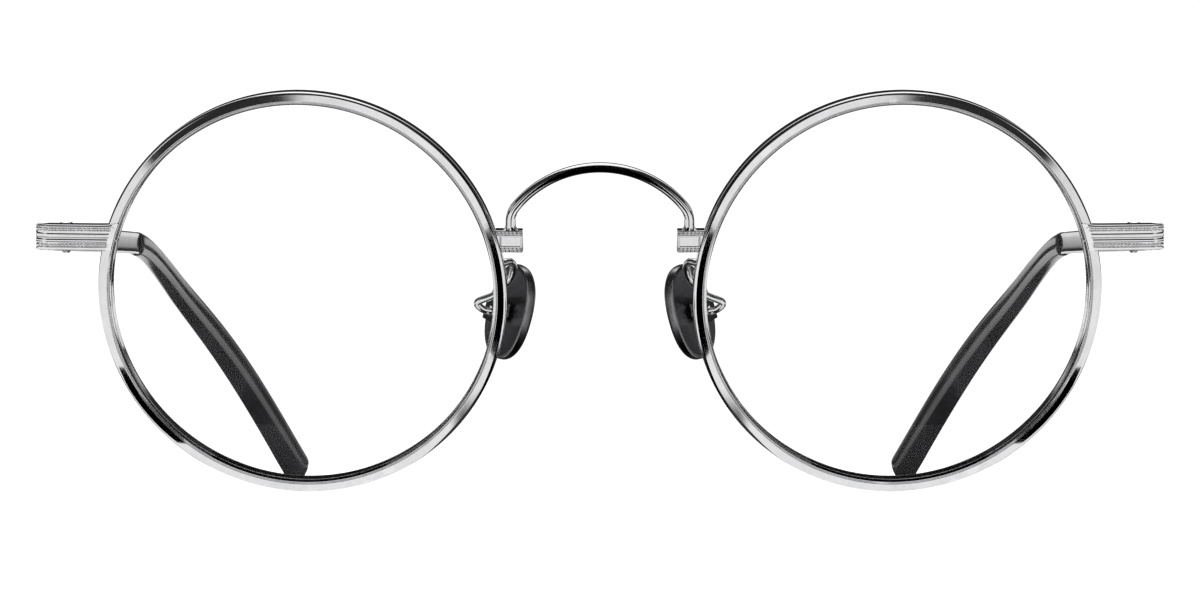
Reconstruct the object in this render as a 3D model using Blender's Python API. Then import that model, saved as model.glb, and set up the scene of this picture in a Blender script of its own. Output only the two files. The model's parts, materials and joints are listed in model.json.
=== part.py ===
"""Round wire eyeglasses, modelled piece by piece in Blender.

Metres, +Z up. The wearer faces -Y, so the front of the glasses faces -Y and the temples run back
along +Y; the wearer's left is +X. The glasses stand open on their rims and temple tips, with the
origin under the middle of the whole object.

Sizes are driven by the constants below. Every left-hand piece is built once and mirrored for the
right-hand side.
"""
from math import acos, asin, atan2, cos, pi, radians, sin, sqrt, tan

import bmesh
import bpy
import numpy as np
from mathutils import Matrix, Vector

MM = 0.001

# Overall sizes
EYE_SIZE = 46.0 * MM              # lens diameter over its bevel
BRIDGE_WIDTH = 24.0 * MM          # between the two lenses at their nearest
TEMPLE_LENGTH = 145.0 * MM        # along the temple, hinge to tip
PANTOSCOPIC_TILT = radians(13.0)  # the front leans in at the bottom
FACE_WRAP = radians(3.0)          # each rim turns back at its outer side

# Clearances
SOLDER_GAP = 0.03 * MM            # between pieces that are soldered or screwed face to face
RUNNING_GAP = 0.05 * MM           # between pieces that turn or slide on each other

# Rims and lenses
RIM_WALL = 1.05 * MM              # metal left outside the lens groove
RIM_DEPTH = 2.2 * MM
RIM_LIP = 0.45 * MM               # how far the rim's lips cover the lens edge
RIM_ROUND = 0.3 * MM              # rounded outer front corner
RIM_BEVEL = 0.45 * MM             # sloped inner front corner
GROOVE_HALF_WIDTH = 0.45 * MM
GROOVE_SET_BACK = 0.05 * MM       # groove behind the middle of the rim's depth
SPLIT_WIDTH = 0.24 * MM           # where the rim opens for the lens
LENS_THICKNESS = 1.8 * MM
LENS_CURVE_RADIUS = 132.0 * MM

# Bridge
BRIDGE_HEIGHT = 15.3 * MM         # arch centreline above the lens centres
BRIDGE_ARCH_RADIUS = 12.7 * MM
BRIDGE_SHOULDER_RADIUS = 2.75 * MM
BRIDGE_WIRE_THICK = 1.2 * MM
BRIDGE_WIRE_DEEP = 1.6 * MM
BRIDGE_FOOT_FLARE = 0.15 * MM
BRIDGE_FOOT_HEIGHT = 0.25 * MM    # over which the leg flares out
LUG_HEIGHT = 2.6 * MM
LUG_LENGTH = 2.8 * MM             # from the rim towards the nose
LUG_DEPTH = 1.7 * MM
LUG_MIDDLE = 6.65 * MM            # above the lens centres
LUG_SET_BACK = 0.35 * MM          # behind the rim's front face
LUG_CHAMFER = 0.15 * MM

# End pieces
END_PIECE_MIDDLE = 6.7 * MM       # above the lens centres
END_PIECE_HEIGHT = 3.1 * MM
END_PIECE_THICK = 1.3 * MM
END_PIECE_REACH = 8.15 * MM       # beyond the rim, to the outer wall
END_PIECE_CORNER = 1.25 * MM      # corner radius at mid-thickness
END_PIECE_LAP = 0.8 * MM          # over the rim's front face
END_PIECE_PROUD = 0.45 * MM       # in front of the rim's front face
END_PIECE_RETURN = 8.0 * MM       # corner to hinge axis
END_PIECE_CHAMFER = 0.12 * MM

# Rim locks
LOCK_LENGTH = 2.4 * MM
LOCK_HEIGHT = 0.95 * MM
LOCK_DEPTH = 2.0 * MM
LOCK_CHAMFER = 0.2 * MM
LOCK_SCREW_RADIUS = 0.42 * MM
LOCK_HEAD_RADIUS = 0.78 * MM
LOCK_HEAD_HEIGHT = 0.35 * MM
LOCK_SCREW_SHORT = 0.1 * MM       # screw's end, below the top of the upper half

# Hinges
KNUCKLE_RADIUS = 1.0 * MM
KNUCKLE_HEIGHT = 3.0 * MM         # all three knuckles together
MIDDLE_KNUCKLE = 1.1 * MM
LEAF_THICK = 0.6 * MM
LEAF_LENGTH = 4.6 * MM
HINGE_SCREW_RADIUS = 0.5 * MM
HINGE_HEAD_RADIUS = 0.82 * MM
HINGE_HEAD_HEIGHT = 0.3 * MM
HINGE_SCREW_TAIL = 0.35 * MM      # stands out below the last knuckle

# Temples and tips
TEMPLE_THICK = 1.3 * MM
TEMPLE_TALL = 3.1 * MM
TEMPLE_TOE_IN = radians(1.8)
TEMPLE_END_THICK = 1.15 * MM      # at the acetate tip
TEMPLE_END_TALL = 2.95 * MM
TEMPLE_SHOULDER = 0.5 * MM        # length of the step down to the core wire
CORE_THICK = 0.9 * MM
CORE_TALL = 1.4 * MM
TIP_LENGTH = 86.0 * MM            # acetate sleeve
TIP_END_WALL = 5.0 * MM           # solid acetate beyond the core wire
TIP_MOUTH_THICK = 2.2 * MM
TIP_MOUTH_TALL = 3.3 * MM
TIP_PADDLE_THICK = 2.9 * MM
TIP_PADDLE_TALL = 5.4 * MM
TIP_END_ROUND = 2.0 * MM          # length of the rounded end
TIP_MOUTH_LEAD = 0.5 * MM         # length of the sloped mouth
TIP_BORE_SPARE = 0.5 * MM         # bore beyond the core wire's end
STRAIGHT_LENGTH = 54.0 * MM       # before the temple starts to bend down
FIRST_BEND_LENGTH = 33.0 * MM
FIRST_BEND = radians(20.0)
EAR_BEND_LENGTH = 58.0 * MM
EAR_BEND = radians(45.0)          # slope at the end of the ear bend
CURL_START = 72.0 * MM            # where the tips start to curl inwards
CURL = radians(27.0)

# Nose pads
PAD_LENGTH = 11.8 * MM
PAD_WIDTH = 7.3 * MM
PAD_THICK = 1.5 * MM
PAD_SPLAY = radians(38.0)
PAD_FRONTAL = radians(15.0)
PAD_INSET = 0.15 * MM             # pad centre, from the nose side of the rim towards the nose
PAD_DROP = 4.0 * MM               # pad centre below the lens centres
PAD_BACK = 8.4 * MM               # pad centre behind the front face
PAD_STANDOFF = 1.75 * MM          # pad screw axis to pad middle
PAD_LUG_THICK = 1.0 * MM
PAD_LUG_RADIUS = 0.8 * MM
PAD_BOX_WALL = 0.45 * MM
PAD_BOX_LENGTH = 2.5 * MM
PAD_SCREW_RADIUS = 0.35 * MM
PAD_HEAD_RADIUS = 0.6 * MM
PAD_HEAD_HEIGHT = 0.25 * MM
PAD_SCREW_TAIL = 0.15 * MM        # stands out of the far cheek of the box
PAD_ARM_THICK = 0.9 * MM
PAD_ARM_ROOT = 3.2 * MM           # above the lens centres
PAD_ARM_LOOP = (                  # bends of the wire, in mm from its root on the rim
    (-0.1, 0.8, 0.1),
    (-1.2, 2.0, 0.2),
    (-1.6, 3.2, -0.8),
    (-1.15, 4.1, -2.4),
    (0.5, 4.2, -4.2),
)
PAD_ARM_LANDING = (1.3, 1.0)      # mm straight behind the box: where the wire turns in, and squares up

# Cutters
CUTTER_FRONT = -3.0 * MM          # reach of the rim cutter, in front of the rim's face and behind
CUTTER_BACK = 8.0 * MM
CUTTER_HUB = 0.5 * MM
BORE_REACH = 5.0 * MM             # half length of a drill

# Facet counts
RIM_SEGMENTS = 64
LENS_SEGMENTS = 48
SMALL_SEGMENTS = 18
WIRE_POINTS = 12

# Places that follow from the sizes above
EYE_SPACING = EYE_SIZE + BRIDGE_WIDTH
LENS_RADIUS = EYE_SIZE / 2
GROOVE_RADIUS = LENS_RADIUS + RUNNING_GAP
RIM_OUTER = GROOVE_RADIUS + RIM_WALL
RIM_INNER = LENS_RADIUS - RIM_LIP
GROOVE_DEPTH = RIM_DEPTH / 2 + GROOVE_SET_BACK
SPLIT_ANGLE = asin(END_PIECE_MIDDLE / RIM_OUTER)

WALL_OUTER = EYE_SPACING / 2 + RIM_OUTER * cos(SPLIT_ANGLE) + END_PIECE_REACH
WALL_MIDDLE = WALL_OUTER - END_PIECE_THICK / 2
WALL_INNER = WALL_OUTER - END_PIECE_THICK
LEAF_OUTER = WALL_INNER - SOLDER_GAP
HINGE_X = WALL_INNER - KNUCKLE_RADIUS - 2 * RUNNING_GAP
TIP_MOUTH = TEMPLE_LENGTH - TIP_LENGTH
CORE_START = TIP_MOUTH - RUNNING_GAP
FLAT_END = CORE_START - TEMPLE_SHOULDER

TILT = Matrix.Rotation(PANTOSCOPIC_TILT, 4, "X")
EYE = TILT @ Matrix.Translation((EYE_SPACING / 2, 0, 0)) @ Matrix.Rotation(FACE_WRAP, 4, "Z")
MIRROR = Matrix.Diagonal((-1, 1, 1, 1))
SIDES = (("left", 1), ("right", -1))


# Materials

def material(name, colour, roughness, metallic, alpha=1.0):
    """Principled material of one finish."""
    finish = bpy.data.materials.new(name)
    finish.use_nodes = True
    shader = finish.node_tree.nodes["Principled BSDF"]
    shader.inputs["Base Color"].default_value = (*colour, 1.0)
    shader.inputs["Roughness"].default_value = roughness
    shader.inputs["Metallic"].default_value = metallic
    shader.inputs["Alpha"].default_value = alpha
    return finish


def make_materials():
    """The finishes of the whole object, by name."""
    return {
        "silver": material("polished_silver", (0.74, 0.74, 0.75), 0.12, 1.0),
        "steel": material("screw_steel", (0.55, 0.55, 0.56), 0.25, 1.0),
        "titanium": material("satin_titanium", (0.34, 0.34, 0.35), 0.32, 1.0),
        "acetate": material("black_acetate", (0.012, 0.012, 0.013), 0.12, 0.0),
        "lens": material("clear_lens", (0.95, 0.96, 0.96), 0.02, 0.0, 0.15),
    }


# Mesh helpers

def finish_mesh(name, shape):
    """Close a bmesh off as a smooth-shaded mesh with sharp edges kept."""
    bmesh.ops.recalc_face_normals(shape, faces=shape.faces)
    mesh = bpy.data.meshes.new(name)
    shape.to_mesh(mesh)
    shape.free()
    mesh.shade_smooth()
    mesh.set_sharp_from_angle(angle=radians(32))
    return mesh


def loft(name, frames, outlines):
    """Closed solid through outlines of (across, up) points, one for each (point, across, up)."""
    shape = bmesh.new()
    rings = []
    for (point, across, up), outline in zip(frames, outlines):
        rings.append([shape.verts.new(point + across * a + up * b) for a, b in outline])
    for near, far in zip(rings, rings[1:]):
        for i in range(len(near)):
            j = (i + 1) % len(near)
            shape.faces.new((near[i], near[j], far[j], far[i]))
    shape.faces.new(list(reversed(rings[0])))
    shape.faces.new(rings[-1])
    return finish_mesh(name, shape)


def lathe(name, outline, segments, start=0.0, sweep=2 * pi):
    """Turn a closed outline of (radius, depth) points about the Y axis, from +X towards +Z."""
    shape = bmesh.new()
    full = sweep > 2 * pi - 1e-6
    steps = segments if full else segments + 1
    rings = []
    for k in range(steps):
        angle = start + sweep * k / segments
        rings.append([shape.verts.new((r * cos(angle), y, r * sin(angle))) for r, y in outline])
    for k in range(segments):
        near, far = rings[k], rings[(k + 1) % steps]
        for i in range(len(outline)):
            j = (i + 1) % len(outline)
            shape.faces.new((near[i], near[j], far[j], far[i]))
    if not full:
        shape.faces.new(list(reversed(rings[0])))
        shape.faces.new(rings[-1])
    return finish_mesh(name, shape)


def turned(name, profile, segments):
    """Solid of revolution about Z, from (radius, height) points off the axis, bottom to top."""
    shape = bmesh.new()
    rings = []
    for r, z in profile:
        angles = [2 * pi * k / segments for k in range(segments)]
        rings.append([shape.verts.new((r * cos(a), r * sin(a), z)) for a in angles])
    for near, far in zip(rings, rings[1:]):
        for i in range(segments):
            j = (i + 1) % segments
            shape.faces.new((near[i], near[j], far[j], far[i]))
    shape.faces.new(list(reversed(rings[0])))
    shape.faces.new(rings[-1])
    return finish_mesh(name, shape)


def prism(name, outline, low, high):
    """Solid between two heights over a plan outline of (x, y) points."""
    x_axis, y_axis = Vector((1, 0, 0)), Vector((0, 1, 0))
    frames = [(Vector((0, 0, z)), x_axis, y_axis) for z in (low, high)]
    return loft(name, frames, [outline, outline])


def block(name, low, high):
    """Box between two corners."""
    outline = [(low[0], low[1]), (high[0], low[1]), (high[0], high[1]), (low[0], high[1])]
    return prism(name, outline, low[2], high[2])


def moved(mesh, matrix):
    """The same mesh, moved by a matrix."""
    mesh.transform(matrix)
    return mesh


def combined(body, other, operation):
    """Two meshes joined (UNION) or one cut by the other (DIFFERENCE), as a new mesh."""
    scene = bpy.context.scene.collection
    holder = bpy.data.objects.new("body", body)
    tool = bpy.data.objects.new("other", other)
    scene.objects.link(holder)
    scene.objects.link(tool)
    change = holder.modifiers.new("change", "BOOLEAN")
    change.operation = operation
    change.solver = "EXACT"
    change.object = tool
    seen = holder.evaluated_get(bpy.context.evaluated_depsgraph_get())
    mesh = bpy.data.meshes.new_from_object(seen)
    bpy.data.objects.remove(holder)
    bpy.data.objects.remove(tool)
    mesh.shade_smooth()
    mesh.set_sharp_from_angle(angle=radians(32))
    return mesh


def carved(body, cutters):
    """Body minus each cutter in turn."""
    for cutter in cutters:
        body = combined(body, cutter, "DIFFERENCE")
    return body


def drill(radius):
    """Cutter for a hole along Z."""
    return turned("drill", [(radius, -BORE_REACH), (radius, BORE_REACH)], SMALL_SEGMENTS)


def cross_drill(radius):
    """Cutter for a hole along Y."""
    return moved(drill(radius), Matrix.Rotation(pi / 2, 4, "X"))


def rounded_outline(half_across, half_up, squareness, points):
    """Superellipse: squareness 2 is an ellipse, larger is nearer a rectangle."""
    outline = []
    for k in range(points):
        angle = 2 * pi * (k + 0.5) / points
        c, s = cos(angle), sin(angle)
        a = half_across * abs(c) ** (2 / squareness) * (1 if c > 0 else -1)
        b = half_up * abs(s) ** (2 / squareness) * (1 if s > 0 else -1)
        outline.append((a, b))
    return outline


def chamfered_outline(half_across, half_up, chamfer):
    """Rectangle with its four corners cut off."""
    a, b, c = half_across, half_up, chamfer
    return [(a, -b + c), (a, b - c), (a - c, b), (-a + c, b),
            (-a, b - c), (-a, -b + c), (-a + c, -b), (a - c, -b)]


def arc(centre, radius, start, end, steps):
    """Points (x, y) along an arc, ends included."""
    angles = [start + (end - start) * k / steps for k in range(steps + 1)]
    return [(centre[0] + radius * cos(a), centre[1] + radius * sin(a)) for a in angles]


def smooth_curve(points, steps):
    """Catmull-Rom curve through the points, with the given steps between each two."""
    ends = [points[0] * 2 - points[1]] + points + [points[-1] * 2 - points[-2]]
    curve = []
    for a, b, c, d in zip(ends, ends[1:], ends[2:], ends[3:]):
        for k in range(steps):
            t = k / steps
            curve.append(0.5 * (2 * b + (c - a) * t + (2 * a - 5 * b + 4 * c - d) * t ** 2
                                + (3 * b - a - 3 * c + d) * t ** 3))
    return curve + [points[-1]]


def path_frames(points, up_hint):
    """(point, across, up) for each point of a path, with up kept near its hint."""
    frames = []
    for k, point in enumerate(points):
        before, after = points[max(k - 1, 0)], points[min(k + 1, len(points) - 1)]
        along = (after - before).normalized()
        hint = up_hint[k] if isinstance(up_hint, list) else up_hint
        up = (hint - along * hint.dot(along)).normalized()
        frames.append((point, along.cross(up), up))
    return frames


# Placing

def empty(name, matrix, parent=None):
    """Named frame that pieces hang from."""
    frame = bpy.data.objects.new(name, None)
    frame.empty_display_size = 5 * MM
    bpy.context.scene.collection.objects.link(frame)
    frame.parent = parent
    frame.matrix_basis = matrix
    return frame


def place(name, mesh, finish, parent):
    """Object for one piece, in its parent's frame."""
    piece = bpy.data.objects.new(name, mesh)
    mesh.materials.clear()
    mesh.materials.append(finish)
    bpy.context.scene.collection.objects.link(piece)
    piece.parent = parent
    return piece


def place_pair(name, mesh, finish, parents):
    """The left piece, as built, and its mirror image on the right."""
    pieces = {}
    for side, sign in SIDES:
        own = mesh if sign > 0 else mesh.copy()
        if sign < 0:
            own.transform(MIRROR)
            own.flip_normals()
        pieces[side] = place(f"{name}_{side}", own, finish, parents[side])
    return pieces


def mirrored_empties(name, matrix, parents):
    """A left frame and its mirror image."""
    frames = {}
    for side, sign in SIDES:
        own = matrix if sign > 0 else MIRROR @ matrix @ MIRROR
        frames[side] = empty(f"{name}_{side}", own, parents[side])
    return frames


# Rims and lenses, in the eye frame: lens centre at the origin, front face at y = 0

def rim_outline():
    """Section of the rim wire as (radius, depth), from the outer front round to the inner back."""
    corner = arc((RIM_OUTER - RIM_ROUND, RIM_ROUND), RIM_ROUND, 0, -pi / 2, 2)
    back_round = RIM_ROUND / 2
    groove_front = GROOVE_DEPTH - GROOVE_HALF_WIDTH
    groove_back = GROOVE_DEPTH + GROOVE_HALF_WIDTH
    return corner + [
        (RIM_INNER + RIM_BEVEL, 0),
        (RIM_INNER, RIM_BEVEL),
        (RIM_INNER, groove_front),
        (GROOVE_RADIUS, GROOVE_DEPTH),
        (RIM_INNER, groove_back),
        (RIM_INNER, RIM_DEPTH - back_round),
        (RIM_INNER + back_round, RIM_DEPTH),
        (RIM_OUTER - back_round, RIM_DEPTH),
        (RIM_OUTER, RIM_DEPTH - back_round),
    ]


def make_rim():
    """Grooved wire ring, split at the rim lock."""
    half_split = SPLIT_WIDTH / 2 / RIM_OUTER
    return lathe("rim", rim_outline(), RIM_SEGMENTS, SPLIT_ANGLE + half_split,
                 2 * pi - 2 * half_split)


def make_lens():
    """Meniscus lens with a V-bevel that sits in the rim's groove."""
    shoulder = RIM_INNER - RUNNING_GAP
    bevel_half = GROOVE_HALF_WIDTH - RUNNING_GAP
    edge_sag = LENS_CURVE_RADIUS - sqrt(LENS_CURVE_RADIUS ** 2 - shoulder ** 2)

    def surface(r, offset):
        """Depth of one lens face at radius r."""
        sag = LENS_CURVE_RADIUS - sqrt(LENS_CURVE_RADIUS ** 2 - r ** 2)
        return GROOVE_DEPTH - edge_sag + sag + offset

    half = LENS_THICKNESS / 2
    radii = [shoulder * share for share in (0.04, 0.5, 0.82)]
    profile = [(r, surface(r, -half)) for r in radii]
    profile += [(shoulder, surface(shoulder, -half)), (shoulder, GROOVE_DEPTH - bevel_half)]
    profile += [(LENS_RADIUS, GROOVE_DEPTH)]
    profile += [(shoulder, GROOVE_DEPTH + bevel_half), (shoulder, surface(shoulder, half))]
    profile += [(r, surface(r, half)) for r in reversed(radii)]
    upright = turned("lens", profile, LENS_SEGMENTS)
    return moved(upright, Matrix.Rotation(-pi / 2, 4, "X"))


def rim_cutter(lap_radius, lap_slope):
    """Disc that carves a piece to the rim's outer face, stepped in for what laps its front."""
    facet = cos(pi / RIM_SEGMENTS)
    clear = (RIM_OUTER + SOLDER_GAP) / facet
    outline = [(CUTTER_HUB, CUTTER_FRONT), (lap_radius + lap_slope, CUTTER_FRONT),
               (lap_radius + lap_slope, -END_PIECE_PROUD), (lap_radius, -SOLDER_GAP),
               (clear, -SOLDER_GAP), (clear, CUTTER_BACK), (CUTTER_HUB, CUTTER_BACK)]
    return lathe("rim_cutter", outline, RIM_SEGMENTS)


# Bridge and its lugs

def lug_span():
    """Outer and inner ends of the left bridge lug, in eye-frame x."""
    rim_edge = sqrt(RIM_OUTER ** 2 - LUG_MIDDLE ** 2)
    return -rim_edge - LUG_LENGTH, -rim_edge + RIM_WALL


def make_bridge_lug():
    """Block soldered between the rim and the bridge's leg."""
    nose_end, rim_end = lug_span()
    middle_x = (nose_end + rim_end) / 2
    half = (rim_end - nose_end) / 2
    frames = []
    for z in (LUG_MIDDLE - LUG_HEIGHT / 2, LUG_MIDDLE + LUG_HEIGHT / 2):
        middle = Vector((middle_x, LUG_SET_BACK + LUG_DEPTH / 2, z))
        frames.append((middle, Vector((1, 0, 0)), Vector((0, 1, 0))))
    outline = chamfered_outline(half, LUG_DEPTH / 2, LUG_CHAMFER)
    body = loft("bridge_lug", frames, [outline, outline])
    return carved(body, [rim_cutter(RIM_INNER, 0)])


def make_bridge():
    """Arched wire with vertical legs that stand on the two lugs, in the tilted front frame."""
    lug_outer, _ = lug_span()
    foot_eye = Vector((lug_outer + LUG_LENGTH / 2, LUG_SET_BACK + LUG_DEPTH / 2, 0))
    foot = TILT.inverted() @ EYE @ foot_eye
    foot_z = LUG_MIDDLE + LUG_HEIGHT / 2 + SOLDER_GAP
    arch_z = BRIDGE_HEIGHT - BRIDGE_ARCH_RADIUS
    reach = foot.x - BRIDGE_SHOULDER_RADIUS
    inner = BRIDGE_ARCH_RADIUS - BRIDGE_SHOULDER_RADIUS
    turn = acos(reach / inner)
    shoulder_z = arch_z + inner * sin(turn)
    half = [(foot.x, foot_z), (foot.x, foot_z + BRIDGE_FOOT_HEIGHT)]
    half += arc((reach, shoulder_z), BRIDGE_SHOULDER_RADIUS, 0, turn, 6)
    half += arc((0, arch_z), BRIDGE_ARCH_RADIUS, turn, pi / 2, 12)[1:]
    right = [(-x, z) for x, z in reversed(half[:-1])]
    points = [Vector((x, foot.y, z)) for x, z in half + right]
    frames = path_frames(points, Vector((0, 1, 0)))
    wire = rounded_outline(BRIDGE_WIRE_THICK / 2, BRIDGE_WIRE_DEEP / 2, 3, WIRE_POINTS)
    flare = 1 + 2 * BRIDGE_FOOT_FLARE / BRIDGE_WIRE_THICK
    flared = [(a * flare, b) for a, b in wire]
    outlines = [flared] + [wire] * (len(points) - 2) + [flared]
    return loft("bridge", frames, outlines)


# End pieces, in the temple frame: +Y along the temples, lens centres at the origin

def end_piece_path():
    """Middle of the strip, from the rim round the corner to the hinge, with its height axis."""
    strip_y = END_PIECE_THICK / 2 - END_PIECE_PROUD
    start = EYE @ Vector((RIM_INNER, strip_y, END_PIECE_MIDDLE))
    outward = (EYE.to_3x3() @ Vector((1, 0, 0))).normalized()
    front_up = (EYE.to_3x3() @ Vector((0, 0, 1))).normalized()
    corner = start + outward * ((WALL_MIDDLE - start.x) / outward.x)
    trim = END_PIECE_CORNER * tan(acos(outward.y) / 2)
    bend_from = corner - outward * trim
    bend_to = corner + Vector((0, trim, 0))
    centre = bend_to - Vector((END_PIECE_CORNER, 0, 0))
    points = [start, start + outward * END_PIECE_THICK, bend_from]
    lean = [0.0, 0.0, 0.0]
    steps = 8
    first = atan2(bend_from.y - centre.y, bend_from.x - centre.x)
    for k in range(1, steps + 1):
        angle = first * (1 - k / steps)
        rise = bend_from.z + (bend_to.z - bend_from.z) * k / steps
        points.append(Vector((centre.x + END_PIECE_CORNER * cos(angle),
                              centre.y + END_PIECE_CORNER * sin(angle), rise)))
        lean.append(k / steps)
    hinge = Vector((WALL_MIDDLE, corner.y + END_PIECE_RETURN, bend_to.z))
    points += [bend_to + (hinge - bend_to) * 0.5, hinge - Vector((0, RUNNING_GAP, 0))]
    lean += [1.0, 1.0]
    ups = [front_up * (1 - share) + Vector((0, 0, 1)) * share for share in lean]
    return points, ups, hinge


def make_end_piece():
    """Strip lapped on the rim, bent back at its corner into the hinge wall."""
    points, ups, _ = end_piece_path()
    frames = path_frames(points, ups)
    outline = chamfered_outline(END_PIECE_THICK / 2, END_PIECE_HEIGHT / 2, END_PIECE_CHAMFER)
    body = loft("end_piece", frames, [outline] * len(points))
    lap_radius = RIM_OUTER - END_PIECE_LAP
    cutter = moved(rim_cutter(lap_radius, END_PIECE_LAP * 0.75), EYE)
    return carved(body, [cutter])


# Rim locks, in the eye frame

def lock_middle():
    """Where the rim lock's screw axis crosses the split."""
    return Vector((RIM_OUTER * cos(SPLIT_ANGLE) + LOCK_LENGTH * 0.5,
                   END_PIECE_THICK - END_PIECE_PROUD + SOLDER_GAP + LOCK_DEPTH / 2,
                   END_PIECE_MIDDLE))


def make_rim_lock(sign):
    """Half of the rim lock, above the split (sign 1) or below it (sign -1)."""
    middle = lock_middle()
    low = SPLIT_WIDTH / 2
    heights = sorted((sign * low, sign * (low + LOCK_HEIGHT)))
    axis_x, axis_y = Vector((1, 0, 0)), Vector((0, 1, 0))
    reach = LOCK_LENGTH / 2 + RIM_WALL
    outline = chamfered_outline(reach, LOCK_DEPTH / 2, LOCK_CHAMFER)
    frames = [(middle + Vector((-RIM_WALL, 0, z)), axis_x, axis_y) for z in heights]
    body = loft("rim_lock", frames, [outline, outline])
    bore = moved(drill(LOCK_SCREW_RADIUS + SOLDER_GAP), Matrix.Translation(middle))
    return carved(body, [rim_cutter(RIM_INNER, 0), bore])


def screw(name, radius, tail, top, head_radius, head_height):
    """Round-headed screw along Z, from its tail up to its head's seat, with a driver slot."""
    tip = radius * 0.7
    profile = [(tip, tail), (radius, tail + (radius - tip)), (radius, top),
               (head_radius, top), (head_radius, top + head_height * 0.6),
               (head_radius * 0.8, top + head_height)]
    body = turned(name, profile, SMALL_SEGMENTS)
    slot_half = head_radius * 0.17
    slot = block("slot", (-head_radius * 2, -slot_half, top + head_height * 0.5),
                 (head_radius * 2, slot_half, top + head_height * 2))
    return carved(body, [slot])


def make_rim_lock_screw():
    """Vertical screw that closes the two lock halves, with its head underneath."""
    reach = SPLIT_WIDTH / 2 + LOCK_HEIGHT
    body = screw("rim_lock_screw", LOCK_SCREW_RADIUS, LOCK_SCREW_SHORT - reach,
                 reach + SOLDER_GAP, LOCK_HEAD_RADIUS, LOCK_HEAD_HEIGHT)
    return moved(body, Matrix.Translation(lock_middle()) @ Matrix.Rotation(pi, 4, "X"))


# Hinges, in the hinge frame: axis on Z, outer wall towards +X, temple towards +Y

def knuckle_outline():
    """Plan of the front leaf with its knuckle: a round eye on a short web and a flat leaf."""
    leaf_x = LEAF_OUTER - HINGE_X
    eye = arc((0, 0), KNUCKLE_RADIUS, 0, radians(235), 14)
    inner = leaf_x - LEAF_THICK
    return eye + [(inner, -KNUCKLE_RADIUS * 1.9), (inner, -LEAF_LENGTH),
                  (leaf_x, -LEAF_LENGTH), (leaf_x, -KNUCKLE_RADIUS * 0.2)]


def hinge_bore():
    """Cutter for the hinge screw's hole."""
    return drill(HINGE_SCREW_RADIUS + RUNNING_GAP)


def make_hinge_front():
    """Two outer knuckles on the leaf fixed to the end piece."""
    half = KNUCKLE_HEIGHT / 2
    body = prism("hinge_front", knuckle_outline(), -half, half)
    swing = KNUCKLE_RADIUS + RUNNING_GAP * 2
    gap = MIDDLE_KNUCKLE / 2 + RUNNING_GAP
    slot = block("slot", (-2 * swing, -swing, -gap), (2 * swing, 2 * swing, gap))
    return carved(body, [slot, hinge_bore()])


def make_hinge_rear():
    """Middle knuckle on the leaf fixed to the temple."""
    half = KNUCKLE_HEIGHT / 2
    outline = [(x, -y) for x, y in reversed(knuckle_outline())]
    body = prism("hinge_rear", outline, -half, half)
    swing = KNUCKLE_RADIUS + RUNNING_GAP * 2
    inner = MIDDLE_KNUCKLE / 2
    above = block("above", (-2 * swing, -2 * swing, inner), (2 * swing, swing, 2 * half))
    below = block("below", (-2 * swing, -2 * swing, -2 * half), (2 * swing, swing, -inner))
    return carved(body, [above, below, hinge_bore()])


def make_hinge_screw():
    """Hinge pin screw with its head on top."""
    half = KNUCKLE_HEIGHT / 2
    return screw("hinge_screw", HINGE_SCREW_RADIUS, -half - HINGE_SCREW_TAIL, half + SOLDER_GAP,
                 HINGE_HEAD_RADIUS, HINGE_HEAD_HEIGHT)


# Temples, in the hinge frame

def temple_slope(s):
    """Downward slope and inward turn of the temple's middle line at arc length s."""
    first = min(max((s - STRAIGHT_LENGTH) / FIRST_BEND_LENGTH, 0), 1)
    ear = min(max((s - STRAIGHT_LENGTH - FIRST_BEND_LENGTH) / EAR_BEND_LENGTH, 0), 1)
    eased = ear * ear * (3 - 2 * ear)
    toe = min(max((s - LEAF_LENGTH) / LEAF_LENGTH, 0), 1)
    curl = max((s - CURL_START) / (TEMPLE_LENGTH - CURL_START), 0)
    return FIRST_BEND * first + (EAR_BEND - FIRST_BEND) * eased, TEMPLE_TOE_IN * toe + CURL * curl


def temple_frames(stations):
    """(point, across, up) on the temple's middle line at each arc length in stations."""
    fine = 0.25 * MM
    point = Vector((WALL_MIDDLE - HINGE_X, 0, 0))
    frames = []
    travelled = 0.0
    for station in stations:
        while travelled < station - 1e-9:
            step = min(fine, station - travelled)
            down, turn = temple_slope(travelled + step / 2)
            point = point + Vector((-cos(down) * sin(turn), cos(down) * cos(turn), -sin(down))) * step
            travelled += step
        down, turn = temple_slope(station)
        along = Vector((-cos(down) * sin(turn), cos(down) * cos(turn), -sin(down)))
        across = along.cross(Vector((0, 0, 1))).normalized()
        frames.append((point.copy(), across, across.cross(along)))
    return frames


def blend(first, last, share):
    """Value between two, eased at both ends."""
    share = min(max(share, 0.0), 1.0)
    return first + (last - first) * share * share * (3 - 2 * share)


def spaced(start, end, longest):
    """Evenly spaced values from start to end, no further apart than longest."""
    return list(np.linspace(start, end, int(np.ceil((end - start) / longest)) + 1))


def make_temple():
    """Metal side: a flat strip from the hinge that steps down to the core wire of its tip."""
    strip = spaced(RUNNING_GAP, FLAT_END, 5 * MM)
    core = spaced(CORE_START, TEMPLE_LENGTH - TIP_END_WALL, 3 * MM)
    outlines = []
    for s in strip:
        share = s / FLAT_END
        outlines.append(rounded_outline(blend(TEMPLE_THICK, TEMPLE_END_THICK, share) / 2,
                                        blend(TEMPLE_TALL, TEMPLE_END_TALL, share) / 2,
                                        7, WIRE_POINTS))
    wire = rounded_outline(CORE_THICK / 2, CORE_TALL / 2, 2.5, WIRE_POINTS)
    outlines += [wire] * len(core)
    return loft("temple", temple_frames(strip + core), outlines)


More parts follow.
